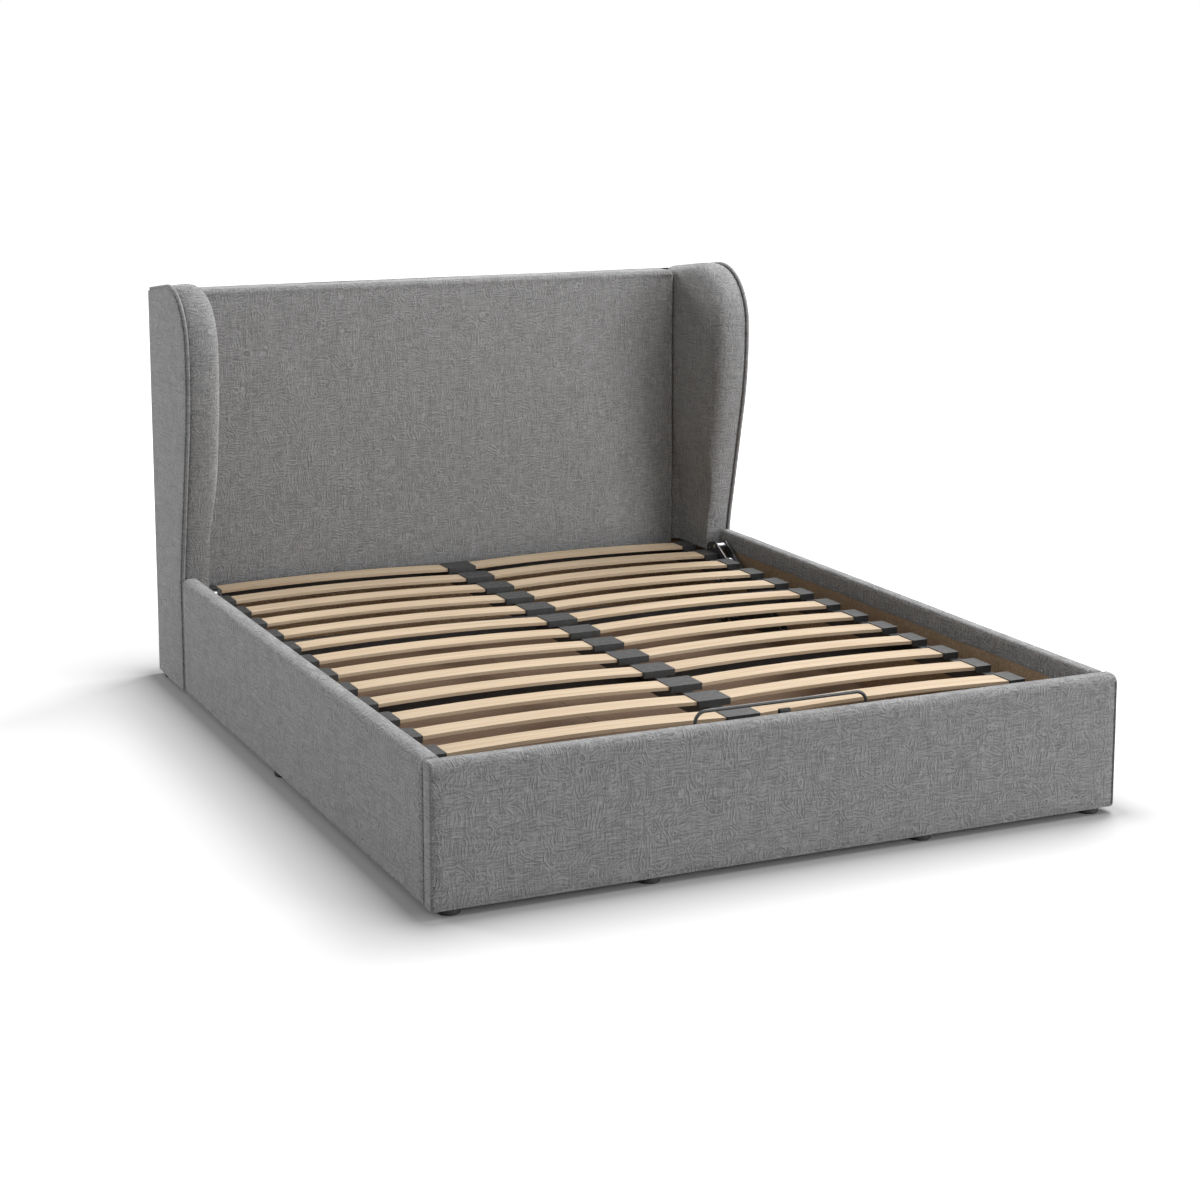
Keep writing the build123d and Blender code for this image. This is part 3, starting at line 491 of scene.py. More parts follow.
FABRIC = upholstery_material("Grey_Woven_Cloth", value=0.235, relief=1.0)
PIPING = upholstery_material("Grey_Piping_Cloth", value=0.26, relief=0.25)
BACKING = cloth_material("Black_Backing_Cloth", value=0.022)
WEBBING = webbing_material("Black_Webbing", value=0.03)
CHIPBOARD = chipboard_material("Particle_Board", CHIP_LIGHT, CHIP_DARK)
HARDBOARD = chipboard_material("Hardboard", HARDBOARD_LIGHT, HARDBOARD_DARK)
PLY = wood_material("Plywood", PLY_LIGHT, PLY_DARK, grain_axis=2, gloss=0.70)
PINE_UPRIGHT = wood_material("Softwood_Upright", PINE_LIGHT, PINE_DARK, grain_axis=2, gloss=0.65)
PINE_ACROSS = wood_material("Softwood_Across", PINE_LIGHT, PINE_DARK, grain_axis=0, gloss=0.65)
PINE_ALONG = wood_material("Softwood_Along", PINE_LIGHT, PINE_DARK, grain_axis=1, gloss=0.65)
BEECH = wood_material("Beech_Slat", BEECH_LIGHT, BEECH_DARK, grain_axis=0, gloss=0.70)
ZINC = metal_material("Zinc_Plate", 0.60, 1.0, 0.36, grain=700.0, mottle=0.12)
COATED = metal_material("Black_Powder_Coat", 0.028, 0.0, 0.42, grain=900.0, mottle=0.15, bump=COAT_BUMP)
CHROME = metal_material("Polished_Rod", 0.74, 1.0, 0.12, grain=400.0, mottle=0.03, bump=POLISHED_BUMP)
PLASTIC = plastic_material("Black_Cap_Plastic", 0.035, roughness=0.50)
GLIDE = plastic_material("Black_Glide_Plastic", 0.022, roughness=0.45)
RUBBER = plastic_material("Black_Rubber", 0.020, roughness=0.78, grain=500.0, bump=0.0004)

SLOT_MATERIALS = {
    "upholstery": FABRIC,
    "piping": PIPING,
    "board": CHIPBOARD,
    "timber": PINE_ALONG,
    "backing_cloth": BACKING,
    "glide_plastic": GLIDE,
    "zinc_steel": ZINC,
    "rubber": RUBBER,
    "black_steel": COATED,
    "rod_steel": CHROME,
    "slat_wood": BEECH,
    "cap_plastic": PLASTIC,
    "webbing": WEBBING,
}
NODE_MATERIALS = {
    "headboard_posts": PINE_UPRIGHT,
    "headboard_cross_rails": PINE_ACROSS,
    "end_ledges": PINE_ACROSS,
    "headboard_ply": PLY,
    "left_base_board": HARDBOARD,
    "right_base_board": HARDBOARD,
}


def paint(obj, material):
    """Gives every material slot of an object one material."""
    if not obj.material_slots:
        obj.data.materials.append(material)
    for slot in obj.material_slots:
        slot.material = material


def paint_nodes():
    """Gives every CAD node the material of its slot, or one of its own."""
    for subpart in frame["record"]["subparts"]:
        node = subpart["node"]
        paint(frame["nodes"][node], NODE_MATERIALS.get(node, SLOT_MATERIALS[subpart["material_slot"]]))


def hand_over(obj, body, slot, *nodes, fill=None):
    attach(obj, body)
    if nodes:
        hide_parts(*nodes)


def mesh_object(name, bm, material):
    """A mesh object from a bmesh, smooth except across sharp edges."""
    bmesh.ops.remove_doubles(bm, verts=bm.verts, dist=1e-6)
    bmesh.ops.recalc_face_normals(bm, faces=bm.faces)
    limit = math.radians(SMOOTH_ANGLE)
    for edge in bm.edges:
        edge.smooth = len(edge.link_faces) == 2 and edge.calc_face_angle(0.0) < limit
    for face in bm.faces:
        face.smooth = True
    mesh = bpy.data.meshes.new(name)
    bm.to_mesh(mesh)
    bm.free()
    obj = bpy.data.objects.new(name, mesh)
    bpy.context.scene.collection.objects.link(obj)
    paint(obj, material)
    return obj


def ruffle(bm, amount, size, seed):
    """Moves each vertex along its normal by a little smooth noise, as stretched cloth over foam does."""
    bm.normal_update()
    offset = Vector([seed * shift for shift in RUFFLE_SHIFTS])
    moves = [(v, v.normal * amount * noise.noise(v.co / size + offset)) for v in bm.verts]
    for vertex, move in moves:
        vertex.co += move


def cut_solid(obj, tool_bm):
    """Takes a closed solid out of a mesh object."""
    tool_mesh = bpy.data.meshes.new("cutter")
    bmesh.ops.recalc_face_normals(tool_bm, faces=tool_bm.faces)
    tool_bm.to_mesh(tool_mesh)
    tool_bm.free()
    tool = bpy.data.objects.new("cutter", tool_mesh)
    bpy.context.scene.collection.objects.link(tool)
    modifier = obj.modifiers.new("cut", "BOOLEAN")
    modifier.operation = "DIFFERENCE"
    modifier.solver = "EXACT"
    modifier.object = tool
    bpy.context.view_layer.update()
    result = bpy.data.meshes.new_from_object(obj.evaluated_get(bpy.context.evaluated_depsgraph_get()))
    obj.modifiers.clear()
    old = obj.data
    obj.data = result
    result.name = old.name
    bpy.data.meshes.remove(old)
    bpy.data.objects.remove(tool)
    bpy.data.meshes.remove(tool_mesh)


def cut_box(obj, low, high):
    """Takes a box out of a mesh object."""
    low, high = Vector(low), Vector(high)
    bm = bmesh.new()
    matrix = Matrix.Translation((low + high) / 2) @ Matrix.Diagonal((*(high - low), 1))
    bmesh.ops.create_cube(bm, size=1, matrix=matrix)
    cut_solid(obj, bm)


def quarter_arc(centre, radius, start, steps):
    """Points round a quarter of a circle."""
    angles = [start + step / steps * math.pi / 2 for step in range(steps + 1)]
    return [(centre[0] + radius * math.cos(a), centre[1] + radius * math.sin(a)) for a in angles]


def block_loop(low, high, radii, inset, cell):
    """A closed loop round a rectangle with rounded corners, drawn in by an inset.

    It has as many points at every inset. The corners, each with the signs of its way inward, and their
    radii go round from (low, low) by way of (high, low)."""
    sides = (high[0] - low[0], high[1] - low[1])
    corners = [(low[0], low[1], 1, 1), (high[0], low[1], -1, 1)]
    corners += [(high[0], high[1], -1, -1), (low[0], high[1], 1, -1)]
    rounds = [max(radius - inset, LEAST_ROUND) for radius in radii]
    loop = []
    for index, (x, y, sx, sy) in enumerate(corners):
        radius = rounds[index]
        centre = (x + sx * (inset + radius), y + sy * (inset + radius))
        loop += quarter_arc(centre, radius, math.pi + index * math.pi / 2, EDGE_STEPS)
        following = (index + 1) % 4
        along = index % 2
        ahead = corners[following]
        target = list(loop[-1])
        target[along] = ahead[along] + ahead[2 + along] * inset + ahead[2 + along] * rounds[following]
        count = max(1, round(sides[along] / cell))
        first = Vector(loop[-1])
        loop += [tuple(first.lerp(Vector(target), k / count)) for k in range(1, count)]
    return loop


def end_stations(low, high, end_rounds, cell):
    """(position, inset) pairs along a sweep with rounded ends."""
    start_round, end_round = end_rounds
    angles = [step / EDGE_STEPS * math.pi / 2 for step in range(EDGE_STEPS, -1, -1)]
    start = [(low + start_round * (1 - math.sin(a)), start_round * (1 - math.cos(a))) for a in angles]
    end = [(high - end_round * (1 - math.sin(a)), end_round * (1 - math.cos(a))) for a in reversed(angles)]
    start_x, end_x = start[-1][0], end[0][0]
    count = max(1, round((end_x - start_x) / cell))
    middle = [(start_x + (end_x - start_x) * k / count, 0.0) for k in range(1, count)]
    return start + middle + end


def skin(bm, rings):
    """Joins closed rings of vertices, each to the next."""
    for first, second in zip(rings, rings[1:]):
        for k in range(len(first)):
            bm.faces.new((first[k - 1], first[k], second[k], second[k - 1]))


def padded_block(axis, low, high, radii, end_rounds, cell):
    """A block with rounded edges: a rounded rectangle swept along an axis, drawn in at its ends."""
    u, v = [(1, 2), (2, 0), (0, 1)][axis]
    bm = bmesh.new()
    rings = []
    for position, inset in end_stations(low[axis], high[axis], end_rounds, cell):
        ring = []
        for a, b in block_loop((low[u], low[v]), (high[u], high[v]), radii, inset, cell):
            point = [0.0, 0.0, 0.0]
            point[axis], point[u], point[v] = position, a, b
            ring.append(bm.verts.new(point))
        rings.append(ring)
    skin(bm, rings)
    bm.faces.new(rings[0])
    bm.faces.new(rings[-1])
    return bm


def eased(share):
    """A share between 0 and 1 with a soft start and end."""
    share = min(1.0, max(0.0, share))
    return share * share * (3 - 2 * share)


def pillow(bm, axis, face, depth, reach, low, high):
    """Draws one flat face of a block in by a depth along its edges, easing to nothing within a reach."""
    others = [k for k in range(3) if k != axis]
    inward = 1 if face == low[axis] else -1
    for vertex in bm.verts:
        if abs(vertex.co[axis] - face) < FACE_LIMIT:
            share = 1.0
            for k in others:
                nearest = min(vertex.co[k] - low[k], high[k] - vertex.co[k])
                share *= math.sin(math.pi / 2 * min(1.0, max(0.0, nearest / reach)))
            vertex.co[axis] += inward * depth * (1 - share)


def turned(spoke, angle):
    """A 2-D vector turned by an angle."""
    cosine, sine = math.cos(angle), math.sin(angle)
    return Vector((spoke.x * cosine - spoke.y * sine, spoke.x * sine + spoke.y * cosine))


def rounded_path(corners, radii, run_points, arc_points):
    """Points along a polyline with rounded corners, with as many points for every size of it."""
    corners = [Vector(corner) for corner in corners]
    points = [corners[0]]
    last = corners[0]
    for before, corner, after, radius, runs, arcs in zip(
        corners, corners[1:], corners[2:], radii, run_points, arc_points
    ):
        back = (before - corner).normalized()
        ahead = (after - corner).normalized()
        half = back.angle(ahead) / 2
        start = corner + back * radius / math.tan(half)
        end = corner + ahead * radius / math.tan(half)
        centre = corner + (back + ahead).normalized() * radius / math.sin(half)
        turn = math.pi - 2 * half
        sign = 1 if back.x * ahead.y - back.y * ahead.x < 0 else -1
        points += [last.lerp(start, k / runs) for k in range(1, runs)]
        points += [centre + turned(start - centre, sign * turn * k / arcs) for k in range(arcs + 1)]
        last = end
    points += [last.lerp(corners[-1], k / run_points[-1]) for k in range(1, run_points[-1] + 1)]
    return points


def wing_edge(inset):
    """(Y, Z) points along the wing's front and top edge from the floor to the back, drawn in by an inset."""
    front = WING_FRONT_Y + inset
    flare = WING_FLARE_Y + inset
    corners = [
        (front, FLOOR_GAP),
        (front, RAIL_TOP),
        (flare, WING_FLARE_Z),
        (flare, WING_FRONT_TOP - inset),
        (BACK_CLOTH_Y, WING_BACK_TOP - inset),
    ]
    radii = [WING_LOW_BEND, WING_HIGH_BEND - inset, WING_CORNER - inset]
    return rounded_path(corners, radii, run_points=[10, 10, 4, 10], arc_points=[6, 16, 12])


def untapered_x(y, z):
    """The least X of a wing's layer that the taper doesn't reach."""
    return 0.0


def tapered_x(y, z):
    """The least X of the wing's inner face. The foam is thinner beside the mattress, up to the headboard."""
    if y > HEADBOARD_FRONT_Y:
        return WING_INNER_X
    share = eased((z - WING_TAPER_LOW) / (WING_TAPER_HIGH - WING_TAPER_LOW))
    return WING_LOW_INNER_X + (WING_INNER_X - WING_LOW_INNER_X) * share


def back_heights(edge):
    """The height at which each line across the wing's face ends at the back.

    The lower lines are level, and the upper ones spread evenly to the top."""
    level_end = next(k for k, point in enumerate(edge) if point.y > WING_FRONT_TOP * LEVEL_SHARE)
    level_z, top_z = edge[level_end].y, edge[-1].y
    spread = len(edge) - 1 - level_end
    heights = [point.y for point in edge[: level_end + 1]]
    heights += [level_z + (top_z - level_z) * (k / spread) for k in range(1, spread + 1)]
    return heights


def face_place(point, back_z, row, rows):
    """(Y, Z, share of the way back) of a point of the wing's face, on a row between its edge and the back.

    Three quarters of the rows lie in front of the headboard's face where the edge does."""
    split = rows * 3 // 4
    middle = max(point.x, HEADBOARD_FRONT_Y)
    y = point.x + (middle - point.x) * min(1.0, row / split)
    y += (BACK_CLOTH_Y - middle) * max(0.0, (row - split) / (rows - split))
    share = (y - point.x) / max(BACK_CLOTH_Y - point.x, CLEAR)
    z = point.y + (back_z - point.y) * min(1.0, share)
    return y, z, share


def wing_rows(bm, side, layers, least_x, puff, rows):
    """Rows of vertices over the wing's flat face, from inside its rounded edge to the back."""
    face_x, inset = layers[-1]
    edge = wing_edge(inset)
    heights = back_heights(edge)
    direction = 1 if face_x > layers[0][0] else -1
    lines = []
    for row in range(1, rows + 1):
        line = []
        for k, point in enumerate(edge):
            y, z, share = face_place(point, heights[k], row, rows)
            fade = min(1.0, (len(edge) - 1 - k) / PUFF_FADE_POINTS)
            x = max(face_x, least_x(y, z)) + direction * puff * math.sin(math.pi * min(1.0, share)) * fade
            line.append(bm.verts.new((side * x, y, z)))
        lines.append(line)
    return lines


def wing_solid(side, layers, least_x=untapered_x, puff=0.0, rows=PLAIN_ROWS):
    """A closed solid with the wing's outline. Layers are (X, inset) pairs from its flat base to its face."""
    bm = bmesh.new()
    lines = []
    for x, inset in layers:
        edge = wing_edge(inset)
        lines.append([bm.verts.new((side * max(x, least_x(y, z)), y, z)) for y, z in edge])
    back_wall = [line[-1] for line in lines[-2::-1]]
    base = lines[0]
    lines += wing_rows(bm, side, layers, least_x, puff, rows)
    for first, second in zip(lines, lines[1:]):
        for k in range(len(first) - 1):
            bm.faces.new((first[k], first[k + 1], second[k + 1], second[k]))
    corner = bm.verts.new((side * layers[0][0], BACK_CLOTH_Y, FLOOR_GAP))
    bm.faces.new(lines[-1] + back_wall + [corner])
    bm.faces.new([line[0] for line in reversed(lines)] + [corner])
    bm.faces.new(base + [corner])
    bmesh.ops.remove_doubles(bm, verts=bm.verts, dist=1e-6)
    bmesh.ops.triangulate(bm, faces=[face for face in bm.faces if len(face.verts) > 4])
    bmesh.ops.recalc_face_normals(bm, faces=bm.faces)
    return bm


def tube_along(points, radius):
    """A closed round tube along 3-D points."""
    bm = bmesh.new()
    rings = []
    for k, point in enumerate(points):
        before = points[max(k - 1, 0)]
        after = points[min(k + 1, len(points) - 1)]
        tangent = (after - before).normalized()
        across = Vector((1, 0, 0)).cross(tangent).normalized()
        up = tangent.cross(across)
        ring = []
        for step in range(TUBE_SIDES):
            angle = 2 * math.pi * step / TUBE_SIDES
            ring.append(bm.verts.new(point + (across * math.cos(angle) + up * math.sin(angle)) * radius))
        rings.append(ring)
    skin(bm, rings)
    bm.faces.new(rings[0])
    bm.faces.new(rings[-1])
    return bm


def add_hem(obj, axis, low, high):
    """Adds a hem to an upholstered piece: a strip of its cloth with a slightly uneven lower edge."""
    strip = padded_block(axis, low, high, [HEM_ROUND] * 4, (HEM_ROUND, HEM_ROUND), HEM_CELL)
    for vertex in strip.verts:
        share = (high[2] - vertex.co.z) / (high[2] - low[2])
        vertex.co.z += HEM_WAVE * share * noise.noise(vertex.co / HEM_WAVE_SIZE)
    bmesh.ops.recalc_face_normals(strip, faces=strip.faces)
    for face in strip.faces:
        face.smooth = True
    part = bpy.data.meshes.new("hem")
    strip.to_mesh(part)
    strip.free()
    joined = bmesh.new()
    joined.from_mesh(obj.data)
    joined.from_mesh(part)
    joined.to_mesh(obj.data)
    joined.free()
    bpy.data.meshes.remove(part)


def staple_row(bm, start, end):
    """Adds evenly spaced crowns of flat wire staples between two points, along their line."""
    start, end = Vector(start), Vector(end)
    count = max(1, round((end - start).length / STAPLE_STEP))
    along = max(range(3), key=lambda k: abs((end - start)[k]))
    size = [STAPLE_WIRE] * 3
    size[along] = STAPLE_CROWN
    for k in range(count):
        place = start.lerp(end, (k + 0.5) / count)
        matrix = Matrix.Translation(place) @ Matrix.Diagonal((*size, 1))
        bmesh.ops.create_cube(bm, size=1, matrix=matrix)


def staple_object(name, corners):
    """A zinc mesh object from rows of staples from each corner to the next, their edges rounded."""
    bm = bmesh.new()
    for start, end in zip(corners, corners[1:]):
        staple_row(bm, start, end)
    bmesh.ops.bevel(bm, geom=bm.edges[:], offset=STAPLE_WIRE / 4, segments=2, affect="EDGES")
    hand_over(mesh_object(name, bm, ZINC), BASE, "zinc_steel")


def build_footboard():
    """The footboard's padding and cloth, with room for its board, and its stapled hem."""
    low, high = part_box("footboard_cover")
    rounds = [OUTER_LOW_ROUND, INNER_LOW_ROUND, INNER_TOP_ROUND, OUTER_TOP_ROUND]
    bm = padded_block(0, low, high, rounds, (FOOTBOARD_END_ROUND, FOOTBOARD_END_ROUND), FOOTBOARD_CELL)
    pillow(bm, 1, low[1], FOOTBOARD_CROWN, CROWN_REACH, low, high)
    ruffle(bm, *BOARD_RUFFLE, seed=1)
    footboard = mesh_object("Footboard_Upholstery", bm, FABRIC)
    inner_y = high[1]
    cut_box(
        footboard,
        (low[0] + END_PADDING - CLEAR, inner_y - BOARD - CLEAR, FLOOR_GAP + BOTTOM_WRAP - CLEAR),
        (high[0] - END_PADDING + CLEAR, inner_y + BEYOND, BOARD_TOP + CLEAR),
    )
    face_y = inner_y + CLEAR / 2
    end_x = low[0] + FOOTBOARD_HEM_GAP
    add_hem(footboard, 0, (end_x, face_y, HEM_LOW), (-end_x, face_y + HEM_THICK, HEM_TOP))
    hand_over(footboard, BASE, "upholstery", "footboard_cover", fill=1.0)
    wire_y = face_y + HEM_THICK + STAPLE_WIRE / 3
    staple_object("Footboard_Staples", [(end_x, wire_y, STAPLE_Z), (-end_x, wire_y, STAPLE_Z)])


def build_rail(side, hand):
    """A side rail's padding and cloth, with room for its board, and its stapled hem."""
    node = hand.lower() + "_rail_cover"
    low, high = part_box(node)
    inner, outer = (low[0], high[0]) if side > 0 else (high[0], low[0])
    rounds = [INNER_LOW_ROUND, INNER_TOP_ROUND, OUTER_TOP_ROUND, OUTER_LOW_ROUND]
    if side < 0:
        rounds.reverse()
    bm = padded_block(1, low, high, rounds, (RAIL_FOOT_ROUND, RAIL_HEAD_ROUND), RAIL_CELL)
    pillow(bm, 0, outer, RAIL_CROWN, CROWN_REACH, low, high)
    ruffle(bm, *BOARD_RUFFLE, seed=2 + side)
    rail = mesh_object(hand + "_Rail_Upholstery", bm, FABRIC)
    xs = sorted((inner - side * BEYOND, outer - side * (RAIL_PADDING - CLEAR)))
    cut_box(
        rail,
        (xs[0], low[1] - BEYOND, FLOOR_GAP + BOTTOM_WRAP - CLEAR),
        (xs[1], high[1] - END_PADDING + CLEAR, BOARD_TOP + CLEAR),
    )
    hem_xs = sorted((inner - side * CLEAR / 2, inner - side * (CLEAR / 2 + HEM_THICK)))
    start_y, end_y = low[1] + RAIL_HEM_FOOT_GAP, high[1] - RAIL_HEM_HEAD_GAP
    add_hem(rail, 1, (hem_xs[0], start_y, HEM_LOW), (hem_xs[1], end_y, HEM_TOP))
    hand_over(rail, BASE, "upholstery", node, fill=1.0)
    wire_x = inner - side * (CLEAR / 2 + HEM_THICK + STAPLE_WIRE / 3)
    staple_object(hand + "_Rail_Staples", [(wire_x, start_y, STAPLE_Z), (wire_x, end_y, STAPLE_Z)])


def wing_pad_layers():
    """(X, inset) pairs from the wing's seam, up a shallow roll and round the deep one to its inner face."""
    layers = []
    for step in range(ROLL_STEPS):
        angle = step / ROLL_STEPS * math.pi / 2
        layers.append((WING_SEAM_X - SEAM_ROLL * (1 - math.cos(angle)), SEAM_DROP * (1 - math.sin(angle))))
    for step in range(ROLL_STEPS + 1):
        angle = step / ROLL_STEPS * math.pi / 2
        layers.append((WING_INNER_X + WING_ROLL * (1 - math.sin(angle)), WING_ROLL * (1 - math.cos(angle))))
    return layers


def wing_panel_layers():
    """(X, inset) pairs from the wing's seam to the panel's outer face, round its edge."""
    outer = WING_OUTER_X - PANEL_SINK
    layers = [(WING_SEAM_X, PANEL_INSET + PANEL_EASE), (WING_SEAM_X + PANEL_EDGE, PANEL_INSET)]
    layers.append((outer - PANEL_ROUND, PANEL_INSET))
    for step in range(1, PANEL_STEPS + 1):
        angle = step / PANEL_STEPS * math.pi / 2
        x = outer - PANEL_ROUND * (1 - math.sin(angle))
        layers.append((x, PANEL_INSET + PANEL_ROUND * (1 - math.cos(angle))))
    return layers


def wing_board_room(side):
    """The space of the wing's board, open at the floor and the back."""
    inset = BOARD_INSET - CLEAR
    room = wing_solid(side, [(BOARD_INNER_X - CLEAR, inset), (BOARD_OUTER_X + CLEAR, inset)])
    for vertex in room.verts:
        if vertex.co.z < FLOOR_GAP + CLEAR:
            vertex.co.z -= BEYOND
        if vertex.co.y > BACK_CLOTH_Y - CLEAR:
            vertex.co.y += BEYOND
    return room


def build_wing_pad(side, hand):
    """A wing's rolled padding, with room for its board and the headboard's frame."""
    bm = wing_solid(side, wing_pad_layers(), tapered_x, rows=PAD_ROWS)
    ruffle(bm, *WING_RUFFLE, seed=5 + side)
    pad = mesh_object(hand + "_Wing_Pad", bm, FABRIC)
    xs = sorted((side * (WING_INNER_X - BEYOND), side * (BOARD_INNER_X + CLEAR)))
    cut_box(pad, (xs[0], CUT_FRONT_Y, 0.0), (xs[1], CUT_BACK_Y, WING_PAD_LOW))
    cut_box(pad, (xs[0], PLY_FRONT_Y - CLEAR, 0.0), (xs[1], CUT_BACK_Y, FRAME_TOP + CLEAR))
    cut_solid(pad, wing_board_room(side))
    hand_over(pad, BASE, "upholstery", hand.lower() + "_wing_pad", fill=1.0)


def build_wing_panel(side, hand):
    """A wing's flat outer panel."""
    bm = wing_solid(side, wing_panel_layers(), puff=PANEL_PUFF)
    ruffle(bm, *PANEL_RUFFLE, seed=8 + side)
    panel = mesh_object(hand + "_Wing_Panel", bm, FABRIC)
    hand_over(panel, BASE, "upholstery", hand.lower() + "_wing_panel", fill=1.0)


def build_wing_piping(side, hand):
    """The piping along a wing's outer edge."""
    x = side * (WING_SEAM_X + PIPING_RADIUS)
    points = [Vector((x, y, z)) for y, z in wing_edge(PIPING_RADIUS)]
    piping = mesh_object(hand + "_Wing_Piping", tube_along(points, PIPING_RADIUS + PIPING_PUFF), PIPING)
    hand_over(piping, BASE, "piping", hand.lower() + "_wing_piping")


def build_headboard_pad():
    """The headboard's pad, with room for its frame."""
    low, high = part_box("headboard_pad")
    rounds = [HEADBOARD_LOW_ROUND, HEADBOARD_BACK_LOW_ROUND, HEADBOARD_BACK_TOP_ROUND, HEADBOARD_TOP_ROUND]
    bm = padded_block(0, low, high, rounds, (HEADBOARD_END_ROUND, HEADBOARD_END_ROUND), HEADBOARD_CELL)
    pillow(bm, 1, low[1], HEADBOARD_CROWN, HEADBOARD_CROWN_REACH, low, high)
    ruffle(bm, *HEADBOARD_RUFFLE, seed=11)
    headboard = mesh_object("Headboard_Pad", bm, FABRIC)
    cut_low = (-CUT_HALF_WIDTH, PLY_FRONT_Y - CLEAR, 0.0)
    cut_box(headboard, cut_low, (CUT_HALF_WIDTH, CUT_BACK_Y, FRAME_TOP + CLEAR))
    hand_over(headboard, BASE, "upholstery", "headboard_pad", fill=1.0)


def build_back_cloth():
    """The cloth stretched over the headboard's back, and the staples round it."""
    low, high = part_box("headboard_back_cloth")
    cloth_y = high[1] - STAPLE_WIRE
    cloth_high = (high[0], cloth_y, high[2])
    bm = padded_block(0, low, cloth_high, [CLOTH_ROUND] * 4, (CLOTH_ROUND, CLOTH_ROUND), CLOTH_CELL)
    back_cloth = mesh_object("Headboard_Back_Cloth", bm, BACKING)
    hand_over(back_cloth, BASE, "backing_cloth", "headboard_back_cloth")
    margin = CLOTH_STAPLE_MARGIN
    wire_y = cloth_y + STAPLE_WIRE / 3
    left, right = low[0] + margin, high[0] - margin
    bottom, top = low[2] + margin, high[2] - margin
    round_trip = [(left, bottom), (right, bottom), (right, top), (left, top), (left, bottom)]
    staple_object("Back_Cloth_Staples", [(x, wire_y, z) for x, z in round_trip])


def strap_ring(bm, x, radius, low, high):
    """The strap's outline at one X, at a radius round its two ends."""
    middle_y = (low[1] + high[1]) / 2
    end_round = (high[1] - low[1]) / 2
    ring = []
    for centre_z, start in ((high[2] - end_round, 0.0), (low[2] + end_round, math.pi)):
        for step in range(STRAP_STEPS + 1):
            angle = start + math.pi * step / STRAP_STEPS
            y = middle_y + radius * math.cos(angle)
            ring.append(bm.verts.new((x, y, centre_z + radius * math.sin(angle))))
    return ring


def build_lift_strap():
    """The loop of webbing that the platform is lifted by."""
    low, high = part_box("lift_strap")
    outer = (high[1] - low[1]) / 2
    bm = bmesh.new()
    edges = [(x, radius) for radius in (outer, outer - STRAP_THICK) for x in (low[0], high[0])]
    rings = [strap_ring(bm, x, radius, low, high) for x, radius in edges]
    skin(bm, [rings[0], rings[1], rings[3], rings[2], rings[0]])
    strap = mesh_object("Lift_Strap", bm, WEBBING)
    hand_over(strap, PLATFORM, "webbing", "lift_strap")


def floor_glow_and_painted_shadow(tree, place):
    """The floor's own white, by distance from the bed's outline: soon a half, and much further out one. Its
    fall towards the bed paints a shadow round the bed, on top of the real one.
    """
    mirrored = vector(tree, "ABSOLUTE", place, place)
    beyond = vector(tree, "SUBTRACT", mirrored, (WING_OUTER_X, BACK_CLOTH_Y, 0))
    away = vector(tree, "LENGTH", vector(tree, "MAXIMUM", beyond, (0, 0, 0)), beyond, output=1)
    start = maths(tree, "MAXIMUM", maths(tree, "SUBTRACT", away, GLOW_START), 0.0)
    near = maths(tree, "SUBTRACT", 1.0, maths(tree, "EXPONENT", maths(tree, "DIVIDE", start, -GLOW_REACH)))
    far = maths(tree, "DIVIDE", maths(tree, "SUBTRACT", away, FAR_START), FAR_REACH, clamp=True)
    return maths(tree, "MULTIPLY", maths(tree, "ADD", near, far), 0.5)


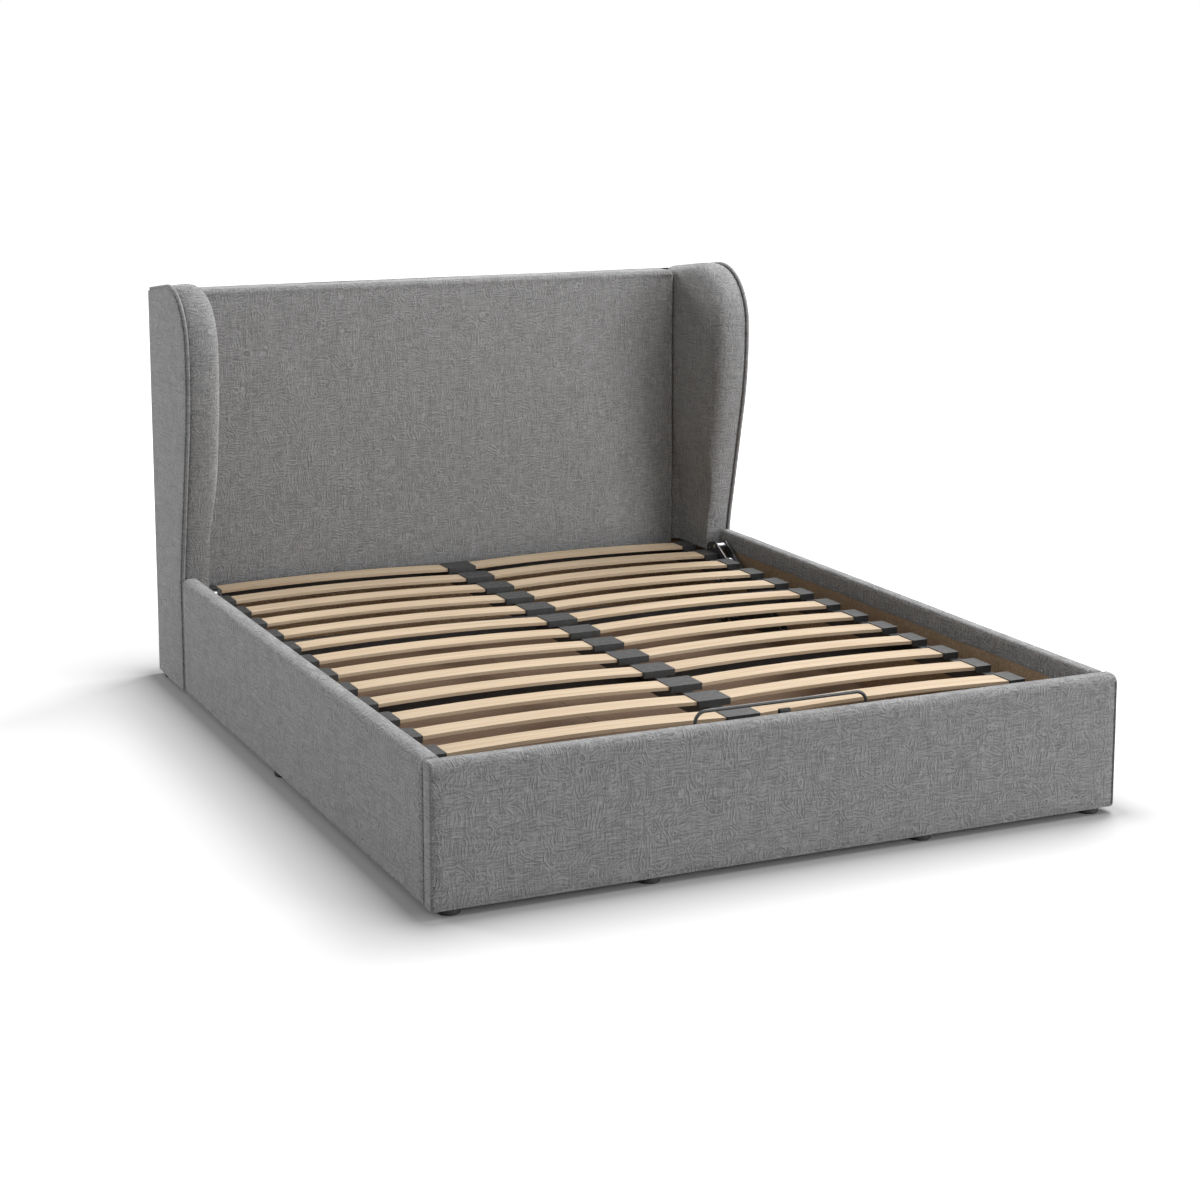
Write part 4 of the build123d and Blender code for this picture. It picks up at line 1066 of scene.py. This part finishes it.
def build_floor():
    """A pale floor that keeps the bed's shadow and is white away from it, with a painted shadow round the
    bed where its glow fades.
    """
    bm = bmesh.new()
    bmesh.ops.create_grid(bm, x_segments=1, y_segments=1, size=FLOOR_HALF)
    material, tree, shader, place = new_material("Studio_Floor")
    shader.inputs["Base Color"].default_value = grey(FLOOR_VALUE)
    shader.inputs["Roughness"].default_value = 1.0
    shader.inputs["Specular IOR Level"].default_value = 0.0
    shader.inputs["Emission Color"].default_value = grey(1.0)
    # The glow is weaker near the bed, which paints a shadow round it
    strength = maths(tree, "MULTIPLY", seen_directly(tree), floor_glow_and_painted_shadow(tree, place))
    tree.links.new(strength, shader.inputs["Emission Strength"])
    floor = mesh_object("Studio_Floor", bm, material)


def build_world():
    """A world that is white where it is seen, and gives the object a weaker light."""
    world = bpy.data.worlds.new("Studio_World")
    bpy.context.scene.world = world
    world.use_nodes = True
    tree = world.node_tree
    background = tree.nodes["Background"]
    strength = put(tree, "MapRange", {0: seen_directly(tree), 3: WORLD_LIGHT, 4: 1.0}).outputs[0]
    background.inputs["Color"].default_value = grey(1.0)
    tree.links.new(strength, background.inputs["Strength"])


def add_softbox(name, place, target, size, power):
    """A large square area lamp aimed at a point."""
    data = bpy.data.lights.new(name, "AREA")
    data.shape = "SQUARE"
    data.size = size
    data.energy = power
    lamp = bpy.data.objects.new(name, data)
    lamp.location = place
    lamp.rotation_euler = (Vector(target) - Vector(place)).to_track_quat("-Z", "Y").to_euler()
    bpy.context.scene.collection.objects.link(lamp)


def build_camera():
    """The photo's camera."""
    data = bpy.data.cameras.new("Photo_Camera")
    data.sensor_width = SENSOR
    data.sensor_fit = "HORIZONTAL"
    data.lens = FOCAL_PIXELS / FRAME_PIXELS * SENSOR
    data.shift_y = CAMERA_SHIFT
    data.clip_end = CAMERA_REACH
    camera = bpy.data.objects.new("Photo_Camera", data)
    camera.location = CAMERA_PLACE
    yaw, pitch = math.radians(CAMERA_YAW), math.radians(CAMERA_PITCH)
    view_line = Vector((math.sin(yaw) * math.cos(pitch), math.cos(yaw) * math.cos(pitch), -math.sin(pitch)))
    camera.rotation_euler = view_line.to_track_quat("-Z", "Y").to_euler()
    bpy.context.scene.collection.objects.link(camera)
    bpy.context.scene.camera = camera


paint_nodes()
build_footboard()
for side, hand in HANDS:
    build_rail(side, hand)
for side, hand in HANDS:
    build_wing_pad(side, hand)
    build_wing_panel(side, hand)
    build_wing_piping(side, hand)
build_headboard_pad()
build_back_cloth()
build_lift_strap()
build_floor()
build_world()
for lamp in LAMPS:
    add_softbox(*lamp)
build_camera()
bpy.context.scene.view_settings.view_transform = "Standard"
